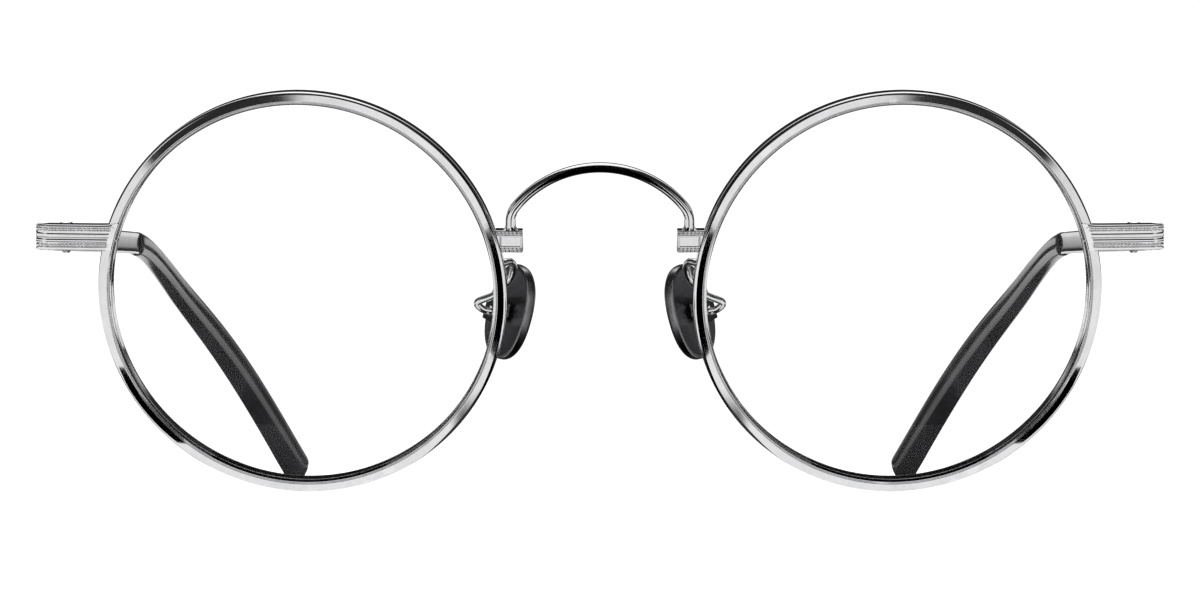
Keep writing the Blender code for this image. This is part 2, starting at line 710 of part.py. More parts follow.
def tip_size(s):
    """Thickness and height of the acetate tip at arc length s."""
    paddle = TEMPLE_LENGTH - 0.2 * TIP_LENGTH
    share = (s - TIP_MOUTH) / (paddle - TIP_MOUTH)
    return (blend(TIP_MOUTH_THICK, TIP_PADDLE_THICK, share),
            blend(TIP_MOUTH_TALL, TIP_PADDLE_TALL, share))


def make_temple_tip():
    """Acetate sleeve over the core wire: blind bore, rounded end."""
    bore_end = TEMPLE_LENGTH - TIP_END_WALL + TIP_BORE_SPARE
    inside = list(reversed(spaced(TIP_MOUTH, bore_end, 3 * MM)))
    round_start = TEMPLE_LENGTH - TIP_END_ROUND
    outside = spaced(TIP_MOUTH + TIP_MOUTH_LEAD, round_start, 3 * MM)
    hole = rounded_outline(CORE_THICK / 2 + 2 * RUNNING_GAP, CORE_TALL / 2 + 2 * RUNNING_GAP, 2.5,
                           WIRE_POINTS)
    stations = inside + [TIP_MOUTH] + outside
    outlines = [hole] * len(inside)
    thick, tall = tip_size(TIP_MOUTH)
    inset = TIP_MOUTH_LEAD / 2
    outlines.append(rounded_outline(thick / 2 - inset, tall / 2 - inset, 2.4, WIRE_POINTS))
    for s in outside:
        thick, tall = tip_size(s)
        outlines.append(rounded_outline(thick / 2, tall / 2, 2.4, WIRE_POINTS))
    for share in (0.4, 0.7, 0.88, 0.97, 1.0):
        stations.append(round_start + TIP_END_ROUND * share)
        left = max(1 - share ** 2.6, 0.02) ** (1 / 2.6)
        outlines.append(rounded_outline(TIP_PADDLE_THICK / 2 * left, TIP_PADDLE_TALL / 2 * left,
                                        2.4, WIRE_POINTS))
    frames_at = dict(zip(sorted(set(stations)), temple_frames(sorted(set(stations)))))
    return loft("temple_tip", [frames_at[s] for s in stations], outlines)


# Nose pads, in the pad frame: screw axis on Y (front to back across the pad), pad face towards -X

def pad_frame():
    """Place of the left pad's screw axis in the tilted front frame."""
    turn = Matrix.Rotation(-PAD_FRONTAL, 4, "Y") @ Matrix.Rotation(-PAD_SPLAY, 4, "Z")
    nose_side = EYE_SPACING / 2 - RIM_OUTER
    middle = Vector((nose_side - PAD_INSET, PAD_BACK, -PAD_DROP))
    screw_axis = middle + turn.to_3x3() @ Vector((PAD_STANDOFF, 0, 0))
    return Matrix.Translation(screw_axis) @ turn


def make_nose_pad():
    """Oval pad with a drilled lug on its back."""
    inner_x, outer_x = -PAD_STANDOFF - PAD_THICK / 2, -PAD_STANDOFF + PAD_THICK / 2
    rows = [(inner_x, 0.72), (inner_x + PAD_THICK * 0.16, 0.9), (inner_x + PAD_THICK * 0.45, 1.0),
            (outer_x - PAD_THICK * 0.2, 0.97), (outer_x, 0.86)]
    frames = [(Vector((x, 0, 0)), Vector((0, 1, 0)), Vector((0, 0, 1))) for x, _ in rows]
    outlines = []
    for _, share in rows:
        outlines.append(rounded_outline(PAD_WIDTH / 2 * share, PAD_LENGTH / 2 * share, 2.2, 22))
    plate = loft("nose_pad", frames, outlines)
    eye = arc((0, 0), PAD_LUG_RADIUS, -pi / 2, pi / 2, 10)
    root = outer_x - 0.3 * MM
    lug_outline = eye + [(root, PAD_LUG_RADIUS), (root, -PAD_LUG_RADIUS)]
    x_axis, z_axis = Vector((1, 0, 0)), Vector((0, 0, 1))
    frames = [(Vector((0, y, 0)), x_axis, z_axis) for y in (-PAD_LUG_THICK / 2, PAD_LUG_THICK / 2)]
    lug = loft("lug", frames, [lug_outline, lug_outline])
    return carved(combined(plate, lug, "UNION"), [cross_drill(PAD_SCREW_RADIUS + RUNNING_GAP)])


def pad_box_size():
    """Half width and reach of the pad box around the screw axis."""
    slot_half = PAD_LUG_THICK / 2 + 2 * RUNNING_GAP
    roof = PAD_LUG_RADIUS + 3 * RUNNING_GAP
    return slot_half + PAD_BOX_WALL, slot_half, roof


def make_pad_box():
    """Open box that holds the pad's lug, drilled through both cheeks."""
    half_width, slot_half, roof = pad_box_size()
    mouth = -PAD_LUG_RADIUS * 0.7
    low = (mouth, -half_width, -PAD_BOX_LENGTH / 2)
    high = (roof + PAD_BOX_WALL, half_width, PAD_BOX_LENGTH / 2)
    body = block("pad_box", low, high)
    inside = PAD_BOX_LENGTH / 2 - PAD_BOX_WALL * 0.6
    slot = block("slot", (mouth - PAD_BOX_WALL, -slot_half, -inside), (roof, slot_half, inside))
    return carved(body, [slot, cross_drill(PAD_SCREW_RADIUS + SOLDER_GAP)])


def make_pad_screw():
    """Small screw through the pad box, head towards the front."""
    half_width, _, _ = pad_box_size()
    body = screw("pad_screw", PAD_SCREW_RADIUS, -half_width - PAD_SCREW_TAIL,
                 half_width + SOLDER_GAP, PAD_HEAD_RADIUS, PAD_HEAD_HEIGHT)
    return moved(body, Matrix.Rotation(pi / 2, 4, "X"))


def make_pad_arm():
    """Curved wire from the back of the rim round to the pad box, in the tilted front frame."""
    eye = TILT.inverted() @ EYE
    rim_x = -sqrt(((RIM_OUTER + RIM_INNER) / 2) ** 2 - PAD_ARM_ROOT ** 2)
    root = eye @ Vector((rim_x, RIM_DEPTH + SOLDER_GAP, PAD_ARM_ROOT))
    _, _, roof = pad_box_size()
    box = pad_frame()
    box_back = box @ Vector((roof + PAD_BOX_WALL + SOLDER_GAP, 0, 0))
    outward = box.to_3x3() @ Vector((1, 0, 0))
    turn_in, square_up = PAD_ARM_LANDING
    points = [root]
    points += [root + Vector(bend) * MM for bend in PAD_ARM_LOOP]
    points += [box_back + (outward * turn_in + Vector((0.35, -0.1, 1.0))) * MM,
               box_back + (outward * square_up + Vector((0.1, 0, 0.15))) * MM,
               box_back]
    curve = smooth_curve(points, 4)
    frames = wire_frames(curve, Vector((0, 1, 0)), outward)
    outline = rounded_outline(PAD_ARM_THICK / 2, PAD_ARM_THICK / 2, 2, 10)
    return loft("pad_arm", frames, [outline] * len(curve))


def wire_frames(points, first_along, last_along):
    """(point, across, up) along a wire that doesn't twist, with the end cuts square to the ends."""
    frames = []
    up = Vector((0, 0, 1))
    for k, point in enumerate(points):
        if k == 0:
            along = first_along
        elif k == len(points) - 1:
            along = -last_along
        else:
            along = (points[k + 1] - points[k - 1]).normalized()
        up = (up - along * up.dot(along)).normalized()
        frames.append((point, along.cross(up), up.copy()))
    return frames


# Standing on a surface

def standing_matrix(rims, tips):
    """Tilt and shift that stand the rims and the tips on z = 0, centred along Y."""
    def cloud(pieces):
        """World points of some pieces, as an array."""
        return np.array([piece.matrix_world @ v.co for piece in pieces for v in piece.data.vertices])

    bpy.context.view_layer.update()
    rim_points, tip_points = cloud(rims), cloud(tips)

    def lowest(points, angle):
        """Lowest height of the points once turned about X."""
        return (points[:, 1] * sin(angle) + points[:, 2] * cos(angle)).min()

    low, high = radians(-20), radians(20)
    for _ in range(60):
        middle = (low + high) / 2
        if lowest(tip_points, middle) < lowest(rim_points, middle):
            low = middle
        else:
            high = middle
    turn = Matrix.Rotation(middle, 4, "X")
    return Matrix.Translation((0, 0, -lowest(rim_points, middle))) @ turn


def centre_along_y(stance, pieces):
    """Shift the stance so that the pieces' box is centred on y = 0."""
    bpy.context.view_layer.update()
    depths = [(piece.matrix_world @ v.co).y for piece in pieces for v in piece.data.vertices]
    middle = (min(depths) + max(depths)) / 2
    stance.matrix_basis = Matrix.Translation((0, -middle, 0)) @ stance.matrix_basis


def main():
    """Build every piece, then stand the glasses on the ground."""
    for old in list(bpy.data.objects):
        bpy.data.objects.remove(old)
    finishes = make_materials()
    silver, steel = finishes["silver"], finishes["steel"]

    stance = empty("stance", Matrix.Identity(4))
    both = {side: stance for side, _ in SIDES}
    front = empty("front", TILT, stance)
    fronts = {side: front for side, _ in SIDES}
    eyes = mirrored_empties("eye", TILT.inverted() @ EYE, fronts)
    _, _, hinge = end_piece_path()
    hinge_place = Matrix.Translation((HINGE_X, hinge.y, hinge.z))
    hinges = mirrored_empties("hinge", hinge_place, both)
    folds = mirrored_empties("fold", hinge_place, both)
    pad_seats = mirrored_empties("pad_seat", pad_frame(), fronts)

    pieces = [place("bridge", make_bridge(), silver, front)]
    rims = place_pair("rim", make_rim(), silver, eyes)
    pairs = [
        rims,
        place_pair("lens", make_lens(), finishes["lens"], eyes),
        place_pair("bridge_lug", make_bridge_lug(), silver, eyes),
        place_pair("end_piece", make_end_piece(), silver, both),
        place_pair("rim_lock_upper", make_rim_lock(1), silver, eyes),
        place_pair("rim_lock_lower", make_rim_lock(-1), silver, eyes),
        place_pair("rim_lock_screw", make_rim_lock_screw(), steel, eyes),
        place_pair("hinge_front", make_hinge_front(), silver, hinges),
        place_pair("hinge_screw", make_hinge_screw(), steel, hinges),
        place_pair("hinge_rear", make_hinge_rear(), silver, folds),
        place_pair("temple", make_temple(), silver, folds),
        place_pair("pad_arm", make_pad_arm(), silver, fronts),
        place_pair("pad_box", make_pad_box(), silver, pad_seats),
        place_pair("pad_screw", make_pad_screw(), steel, pad_seats),
        place_pair("nose_pad", make_nose_pad(), finishes["titanium"], pad_seats),
    ]
    tips = place_pair("temple_tip", make_temple_tip(), finishes["acetate"], folds)
    pairs.append(tips)
    for pair in pairs:
        pieces += pair.values()

    stance.matrix_basis = standing_matrix(list(rims.values()), list(tips.values()))
    centre_along_y(stance, pieces)


main()
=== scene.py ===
"""Looks of the round wire eyeglasses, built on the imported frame.

Fine meshes stand for the frame's plain solids, and the small hardware keeps its solid with softened
edges. Metres, +Z up, the front faces -Y, the wearer's left is +X. Each left-hand piece is made once
and mirrored.
"""
from __future__ import annotations

import json
import logging
from dataclasses import dataclass
from enum import Enum
from math import acos, asin, atan2, ceil, cos, exp, floor, pi, radians, sin, sqrt, tan
from typing import Sequence

import bmesh
import bpy
from mathutils import Matrix, Vector


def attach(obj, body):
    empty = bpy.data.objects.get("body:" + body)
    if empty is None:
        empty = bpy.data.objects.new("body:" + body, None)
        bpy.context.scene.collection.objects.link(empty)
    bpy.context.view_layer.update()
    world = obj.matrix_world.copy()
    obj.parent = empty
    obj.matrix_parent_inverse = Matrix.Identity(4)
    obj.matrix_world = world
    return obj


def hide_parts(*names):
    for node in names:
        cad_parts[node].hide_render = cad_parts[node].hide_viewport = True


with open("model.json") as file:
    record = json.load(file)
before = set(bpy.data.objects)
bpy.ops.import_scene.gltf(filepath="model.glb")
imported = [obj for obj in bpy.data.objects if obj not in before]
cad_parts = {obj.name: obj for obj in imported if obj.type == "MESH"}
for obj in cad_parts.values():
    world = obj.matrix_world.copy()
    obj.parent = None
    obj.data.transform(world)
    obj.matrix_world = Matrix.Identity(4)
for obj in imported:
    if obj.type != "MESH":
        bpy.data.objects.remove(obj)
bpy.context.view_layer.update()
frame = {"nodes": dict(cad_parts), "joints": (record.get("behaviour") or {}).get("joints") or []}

LOG = logging.getLogger("eyeglasses")
MM = 0.001
X_AXIS, Y_AXIS, Z_AXIS = Vector((1, 0, 0)), Vector((0, 1, 0)), Vector((0, 0, 1))
MIRROR = Matrix.Diagonal((-1, 1, 1, 1))
Outline = list[tuple[float, float]]
Station = tuple[Vector, Vector, Vector]
Rgb = tuple[float, float, float]
Colour = Rgb | bpy.types.NodeSocket
Corner = tuple[float, float, float]


class Side(Enum):
    """Wearer's side of a paired piece."""

    LEFT = "left"
    RIGHT = "right"


class Slot(Enum):
    """Material slot of the record that a piece takes its finish from."""

    SILVER = "silver"
    STEEL = "steel"
    TITANIUM = "titanium"
    ACETATE = "acetate"
    LENS = "lens"


# Shader maths


class Field:
    """A shader socket that can be used in arithmetic."""

    def __init__(self, graph: "Graph", socket: bpy.types.NodeSocket) -> None:
        """Wrap one output socket.

        Args:
            graph: the node graph that the socket belongs to.
            socket: the output socket.
        """
        self.graph = graph
        self.socket = socket

    def _math(self, operation: str, *values: "Field | float") -> "Field":
        """Math node on the given values, in order."""
        return self.graph.node("ShaderNodeMath", {"operation": operation}, *values)

    def __add__(self, other: "Field | float") -> "Field":
        """Sum."""
        return self._math("ADD", self, other)

    def __radd__(self, other: float) -> "Field":
        """Sum, number first."""
        return self._math("ADD", other, self)

    def __sub__(self, other: "Field | float") -> "Field":
        """Difference."""
        return self._math("SUBTRACT", self, other)

    def __rsub__(self, other: float) -> "Field":
        """Difference, number first."""
        return self._math("SUBTRACT", other, self)

    def __mul__(self, other: "Field | float") -> "Field":
        """Product."""
        return self._math("MULTIPLY", self, other)

    def __rmul__(self, other: float) -> "Field":
        """Product, number first."""
        return self._math("MULTIPLY", other, self)

    def absolute(self) -> "Field":
        """Absolute value."""
        return self._math("ABSOLUTE", self)

    def ramp(self, low: float, high: float, start: float = 0.0, end: float = 1.0) -> "Field":
        """Smooth step from start at low to end at high."""
        settings = {"interpolation_type": "SMOOTHSTEP"}
        return self.graph.node("ShaderNodeMapRange", settings, self, low, high, start, end)

    def band(self, low: float, high: float, soft: float) -> "Field":
        """One between low and high, zero outside, with soft edges."""
        return self.ramp(low - soft, low + soft) * self.ramp(high - soft, high + soft, 1.0, 0.0)


class Graph:
    """Node graph of one material or of the world."""

    def __init__(self, tree: bpy.types.NodeTree) -> None:
        """Start from an empty tree.

        Args:
            tree: the node tree to fill.
        """
        self.tree = tree
        tree.nodes.clear()

    def make(self, kind: str, settings: dict, *values: object, **named: object) -> bpy.types.Node:
        """Add a node.

        Args:
            kind: the node's type.
            settings: its properties, set before its sockets.
            values: values or links of its first sockets, in order.
            named: values or links of sockets by name, with spaces as underscores.

        Returns:
            The node.
        """
        made = self.tree.nodes.new(kind)
        for key, value in settings.items():
            setattr(made, key, value)
        pairs = list(zip(made.inputs, values))
        pairs += [(made.inputs[key.replace("_", " ")], value) for key, value in named.items()]
        for socket, value in pairs:
            if isinstance(value, Field):
                self.tree.links.new(value.socket, socket)
            elif isinstance(value, bpy.types.NodeSocket):
                self.tree.links.new(value, socket)
            else:
                socket.default_value = value
        return made

    def node(self, kind: str, settings: dict, *values: object, **named: object) -> Field:
        """Add a node and take its first output."""
        return Field(self, self.make(kind, settings, *values, **named).outputs[0])

    def noise(self, place: bpy.types.NodeSocket, scale: float, detail: float) -> Field:
        """Noise between about 0.3 and 0.7.

        Args:
            place: coordinates.
            scale: features per metre.
            detail: octaves.
        """
        made = self.make("ShaderNodeTexNoise", {}, Vector=place, Scale=scale, Detail=detail)
        return Field(self, made.outputs[0])

    def stretched(self, place: bpy.types.NodeSocket, scale: Vector) -> bpy.types.NodeSocket:
        """Coordinates stretched along the axes."""
        settings = {"operation": "MULTIPLY"}
        return self.make("ShaderNodeVectorMath", settings, place, scale).outputs[0]

    def mix_colour(self, share: Field, first: Colour, second: Colour) -> bpy.types.NodeSocket:
        """Colour between two, each a colour or a socket, by a share from 0 to 1.

        Args:
            share: how much of the second colour.
            first: a colour or a socket.
            second: a colour or a socket.

        Returns:
            The mixed colour's socket.
        """
        made = self.make("ShaderNodeMix", {"data_type": "RGBA"}, share)
        for socket, value in ((made.inputs[6], first), (made.inputs[7], second)):
            if isinstance(value, tuple):
                socket.default_value = (*value, 1.0)
            else:
                self.tree.links.new(value, socket)
        return made.outputs[2]


# Finishes


@dataclass(frozen=True)
class MetalFinish:
    """Metal with recesses darkened by painted shade and patina, edges rubbed bright, fine wear and
    faint polishing lines.
    """

    name: str
    bright: Rgb
    dull: Rgb
    roughness: float
    roughness_spread: float
    grain: float               # polishing lines per metre
    grain_depth: float
    edge_roughness: float      # where edges are rubbed
    rubbed: Rgb

    def build(self) -> bpy.types.Material:
        """Make the material.

        Returns:
            The material.
        """
        made = bpy.data.materials.new(self.name)
        made.use_nodes = True
        graph = Graph(made.node_tree)
        place = graph.make("ShaderNodeTexCoord", {}).outputs["Object"]
        shape = Field(graph, graph.make("ShaderNodeNewGeometry", {}).outputs["Pointiness"])
        # painted shade: creases and recesses turn near black, partly standing for patina in the
        # hollows
        recess_shade_and_patina = shape.ramp(0.36, 0.465, 1.0, 0.0)
        edge = shape.ramp(0.53, 0.60)
        cloud = graph.noise(place, 260.0, 3.0)
        speck = graph.noise(place, 1900.0, 2.0)
        lines = graph.noise(graph.stretched(place, Vector((0.12, 1.0, 1.0))), self.grain, 2.0)
        wear = (cloud * 0.65 + speck * 0.35).ramp(0.38, 0.68)
        clean = graph.mix_colour(wear, self.bright, self.dull)
        rubbed = graph.mix_colour(edge, clean, self.rubbed)
        # near-black colour in the recesses is painted shade as well as patina
        colour = graph.mix_colour(recess_shade_and_patina, rubbed, (0.035, 0.035, 0.037))
        body = self.roughness + self.roughness_spread * (wear * 0.6 + lines * 0.4)
        roughness = body * (1 - edge) + edge * self.edge_roughness
        bump = graph.node("ShaderNodeBump", {}, Strength=0.12, Distance=self.grain_depth,
                          Height=lines * 0.7 + speck * 0.3)
        shader = graph.node("ShaderNodeBsdfPrincipled", {}, Base_Color=colour, Metallic=1.0,
                            Roughness=roughness, Normal=bump)
        graph.make("ShaderNodeOutputMaterial", {}, Surface=shader)
        return made


@dataclass(frozen=True)
class AcetateFinish:
    """Deep black polished acetate with a faint cloud and soft handling marks."""

    name: str
    colour: Rgb
    cloud: Rgb
    roughness: float

    def build(self) -> bpy.types.Material:
        """Make the material.

        Returns:
            The material.
        """
        made = bpy.data.materials.new(self.name)
        made.use_nodes = True
        graph = Graph(made.node_tree)
        place = graph.make("ShaderNodeTexCoord", {}).outputs["Object"]
        depth = graph.noise(place, 90.0, 3.0)
        marks = graph.noise(graph.stretched(place, Vector((1.0, 0.2, 0.5))), 900.0, 3.0)
        colour = graph.mix_colour(depth.ramp(0.4, 0.65), self.colour, self.cloud)
        roughness = self.roughness + 0.06 * marks.ramp(0.4, 0.7)
        bump = graph.node("ShaderNodeBump", {}, Strength=0.02, Distance=0.002 * MM, Height=marks)
        shader = graph.node("ShaderNodeBsdfPrincipled", {}, Base_Color=colour, Roughness=roughness,
                            IOR=1.49, Normal=bump)
        graph.make("ShaderNodeOutputMaterial", {}, Surface=shader)
        return made


@dataclass(frozen=True)
class LensFinish:
    """Clear coated lens: see-through, with a faint mirror that grows at grazing angles."""

    name: str
    tint: Rgb
    mirror: float

    def build(self) -> bpy.types.Material:
        """Make the material.

        Returns:
            The material.
        """
        made = bpy.data.materials.new(self.name)
        made.use_nodes = True
        graph = Graph(made.node_tree)
        clear = graph.node("ShaderNodeBsdfTransparent", {}, (*self.tint, 1.0))
        place = graph.make("ShaderNodeTexCoord", {}).outputs["Object"]
        haze = graph.noise(place, 900.0, 2.0).ramp(0.4, 0.8)
        shine = graph.node("ShaderNodeBsdfPrincipled", {}, Base_Color=(1, 1, 1, 1), Metallic=1.0,
                           Roughness=0.01 + haze * 0.02)
        edge = graph.node("ShaderNodeFresnel", {}, IOR=1.5)
        mixed = graph.node("ShaderNodeMixShader", {}, edge * self.mirror, clear, shine)
        graph.make("ShaderNodeOutputMaterial", {}, Surface=mixed)
        return made


FINISHES = {
    Slot.SILVER: MetalFinish("polished_silver", (0.82, 0.82, 0.83), (0.74, 0.74, 0.75),
                             0.05, 0.06, 6000.0, 0.004 * MM, 0.05, (0.86, 0.86, 0.87)),
    Slot.STEEL: MetalFinish("turned_steel", (0.60, 0.60, 0.61), (0.46, 0.46, 0.47),
                            0.16, 0.12, 9000.0, 0.006 * MM, 0.10, (0.72, 0.72, 0.73)),
    Slot.TITANIUM: MetalFinish("satin_titanium", (0.19, 0.19, 0.20), (0.13, 0.13, 0.14),
                               0.26, 0.12, 5000.0, 0.03 * MM, 0.08, (0.80, 0.80, 0.81)),
    Slot.ACETATE: AcetateFinish("black_acetate", (0.010, 0.010, 0.011), (0.018, 0.018, 0.020),
                                0.12),
    Slot.LENS: LensFinish("clear_lens", (0.995, 0.997, 0.996), 0.12),
}


# Meshes


class Smith:
    """Makes closed meshes and puts them in place as pieces that ride on the frame."""

    def __init__(self) -> None:
        """Build each finish once."""
        self.materials = {slot: finish.build() for slot, finish in FINISHES.items()}

    @staticmethod
    def close(name: str, shape: bmesh.types.BMesh, sharp: float = 35.0) -> bpy.types.Mesh:
        """Turn a bmesh into a smooth-shaded mesh.

        Args:
            name: the mesh's name.
            shape: the bmesh, which is freed.
            sharp: edges steeper than this many degrees stay crisp.

        Returns:
            The mesh, its faces pointing out.
        """
        bmesh.ops.recalc_face_normals(shape, faces=shape.faces)
        mesh = bpy.data.meshes.new(name)
        shape.to_mesh(mesh)
        shape.free()
        mesh.shade_smooth()
        mesh.set_sharp_from_angle(angle=radians(sharp))
        return mesh

    @classmethod
    def loft(cls, name: str, stations: Sequence[Station], outlines: Sequence[Outline],
             sharp: float = 35.0) -> bpy.types.Mesh:
        """Closed solid through one outline of (across, up) points at each station.

        Args:
            name: the mesh's name.
            stations: (point, across, up) for each ring.
            outlines: the ring's points, all of one number.
            sharp: edges steeper than this many degrees stay crisp.

        Returns:
            The mesh.
        """
        shape = bmesh.new()
        rings = []
        for (point, across, up), outline in zip(stations, outlines):
            rings.append([shape.verts.new(point + across * a + up * b) for a, b in outline])
        for near, far in zip(rings, rings[1:]):
            for i in range(len(near)):
                j = (i + 1) % len(near)
                shape.faces.new((near[i], near[j], far[j], far[i]))
        for ring in (rings[0], rings[-1]):
            cls.cap(shape, ring)
        return cls.close(name, shape, sharp)

    @staticmethod
    def cap(shape: bmesh.types.BMesh, ring: Sequence[bmesh.types.BMVert]) -> None:
        """Close a ring with a fan round the middle between its first point and the one opposite.

        Args:
            shape: the bmesh.
            ring: the ring's points in order.
        """
        middle = (ring[0].co + ring[len(ring) // 2].co) / 2
        centre = shape.verts.new(middle)
        for i, vert in enumerate(ring):
            shape.faces.new((vert, ring[(i + 1) % len(ring)], centre))

    @classmethod
    def lathe(cls, name: str, outline: Outline, segments: int, start: float = 0.0,
              sweep: float = 2 * pi) -> bpy.types.Mesh:
        """Turn a closed outline of (radius, depth) points about the Y axis, from +X to +Z.

        Args:
            name: the mesh's name.
            outline: the section.
            segments: steps round the sweep.
            start: angle of the first section.
            sweep: angle turned through; less than a full turn is closed by flat ends.

        Returns:
            The mesh.
        """
        shape = bmesh.new()
        full = sweep > 2 * pi - 1e-6
        steps = segments if full else segments + 1
        rings = []
        for k in range(steps):
            angle = start + sweep * k / segments
            c, s = cos(angle), sin(angle)
            rings.append([shape.verts.new((r * c, y, r * s)) for r, y in outline])
        for k in range(segments):
            near, far = rings[k], rings[(k + 1) % steps]
            for i in range(len(outline)):
                j = (i + 1) % len(outline)
                shape.faces.new((near[i], near[j], far[j], far[i]))
        if not full:
            shape.faces.new(rings[0])
            shape.faces.new(rings[-1])
        return cls.close(name, shape)

    @staticmethod
    def boolean(body: bpy.types.Mesh, tool: bpy.types.Mesh, operation: str) -> bpy.types.Mesh:
        """Join two meshes or cut one by the other.

        Args:
            body: the mesh that is kept.
            tool: the mesh that is added or taken away.
            operation: UNION or DIFFERENCE.

        Returns:
            A new mesh.
        """
        scene = bpy.context.scene.collection
        holder = bpy.data.objects.new("holder", body)
        other = bpy.data.objects.new("other", tool)
        scene.objects.link(holder)
        scene.objects.link(other)
        change = holder.modifiers.new("change", "BOOLEAN")
        change.operation = operation
        change.solver = "EXACT"
        change.object = other
        seen = holder.evaluated_get(bpy.context.evaluated_depsgraph_get())
        mesh = bpy.data.meshes.new_from_object(seen)
        bpy.data.objects.remove(holder)
        bpy.data.objects.remove(other)
        mesh.shade_smooth()
        mesh.set_sharp_from_angle(angle=radians(35))
        return mesh

    def place(self, name: str, mesh: bpy.types.Mesh, body: str, slot: Slot,
              replaces: Sequence[str]) -> bpy.types.Object:
        """Put a piece in place.

        Args:
            name: the piece's name.
            mesh: its mesh, in world coordinates.
            body: the body it rides on.
            slot: its finish.
            replaces: the frame's nodes that it stands for.

        Returns:
            The object.
        """
        mesh.materials.clear()
        mesh.materials.append(self.materials[slot])
        piece = bpy.data.objects.new(name, mesh)
        bpy.context.scene.collection.objects.link(piece)
        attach(piece, body)
        if replaces:
            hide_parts(*replaces)
        LOG.info("%s on %s: %d faces", name, body, len(mesh.polygons))
        return piece

    def pair(self, name: str, mesh: bpy.types.Mesh, matrix: Matrix, body: str, slot: Slot,
             node: str) -> None:
        """Put the left piece and its mirror image in place.

        Args:
            name: the pieces' name without the side.
            mesh: the left mesh, in its own frame.
            matrix: that frame in the world.
            body: the body's name, with {} for the side.
            slot: the finish.
            node: the frame's node without the side.
        """
        mesh.transform(matrix)
        for side in Side:
            own = mesh if side is Side.LEFT else mesh.copy()
            if side is Side.RIGHT:
                own.transform(MIRROR)
                own.flip_normals()
            self.place(f"{name}_{side.value}", own, body.format(side.value), slot,
                       [f"{node}_{side.value}"])

    def dress(self, node: str, slot: Slot, soften: float) -> None:
        """Give a frame solid its finish and softened edges.

        Args:
            node: the frame's node.
            slot: the finish.
            soften: width of the softened edges.
        """
        solid = frame["nodes"][node]
        solid.data.materials.clear()
        solid.data.materials.append(self.materials[slot])
        bevel = solid.modifiers.new("soft_edges", "BEVEL")
        bevel.width = soften
        bevel.segments = 2
        bevel.limit_method = "ANGLE"
        bevel.angle_limit = radians(40)
        bevel.harden_normals = False
        LOG.info("%s keeps its solid", node)


class Draw:
    """Plain outlines and curves."""

    @staticmethod
    def arc(centre: tuple[float, float], radius: float, start: float, end: float,
            steps: int) -> Outline:
        """Points along an arc, ends included."""
        angles = [start + (end - start) * k / steps for k in range(steps + 1)]
        return [(centre[0] + radius * cos(a), centre[1] + radius * sin(a)) for a in angles]

    @staticmethod
    def oval(half_across: float, half_up: float, squareness: float, points: int) -> Outline:
        """Superellipse: squareness 2 is an ellipse, larger is nearer a rectangle.

        Args:
            half_across: half its width.
            half_up: half its height.
            squareness: the exponent.
            points: how many points.

        Returns:
            The outline.
        """
        outline = []
        for k in range(points):
            angle = 2 * pi * (k + 0.5) / points
            c, s = cos(angle), sin(angle)
            outline.append((half_across * abs(c) ** (2 / squareness) * (1 if c > 0 else -1),
                            half_up * abs(s) ** (2 / squareness) * (1 if s > 0 else -1)))
        return outline

    @staticmethod
    def smooth(points: Sequence[Vector], steps: int) -> list[Vector]:
        """Catmull-Rom curve through the points.

        Args:
            points: what it passes through.
            steps: pieces between two points.

        Returns:
            The curve's points.
        """
        ends = [points[0] * 2 - points[1], *points, points[-1] * 2 - points[-2]]
        curve = []
        for a, b, c, d in zip(ends, ends[1:], ends[2:], ends[3:]):
            for k in range(steps):
                t = k / steps
                curve.append(0.5 * (2 * b + (c - a) * t + (2 * a - 5 * b + 4 * c - d) * t ** 2
                                    + (3 * b - a - 3 * c + d) * t ** 3))
        return curve + [points[-1]]

    @staticmethod
    def ease(first: float, last: float, share: float) -> float:
        """Value between two, eased at both ends."""
        share = min(max(share, 0.0), 1.0)
        return first + (last - first) * share * share * (3 - 2 * share)

    @staticmethod
    def spaced(start: float, end: float, longest: float) -> list[float]:
        """Evenly spaced values from start to end."""
        steps = max(1, ceil((end - start) / longest))
        return [start + (end - start) * k / steps for k in range(steps + 1)]


# Sub-assemblies


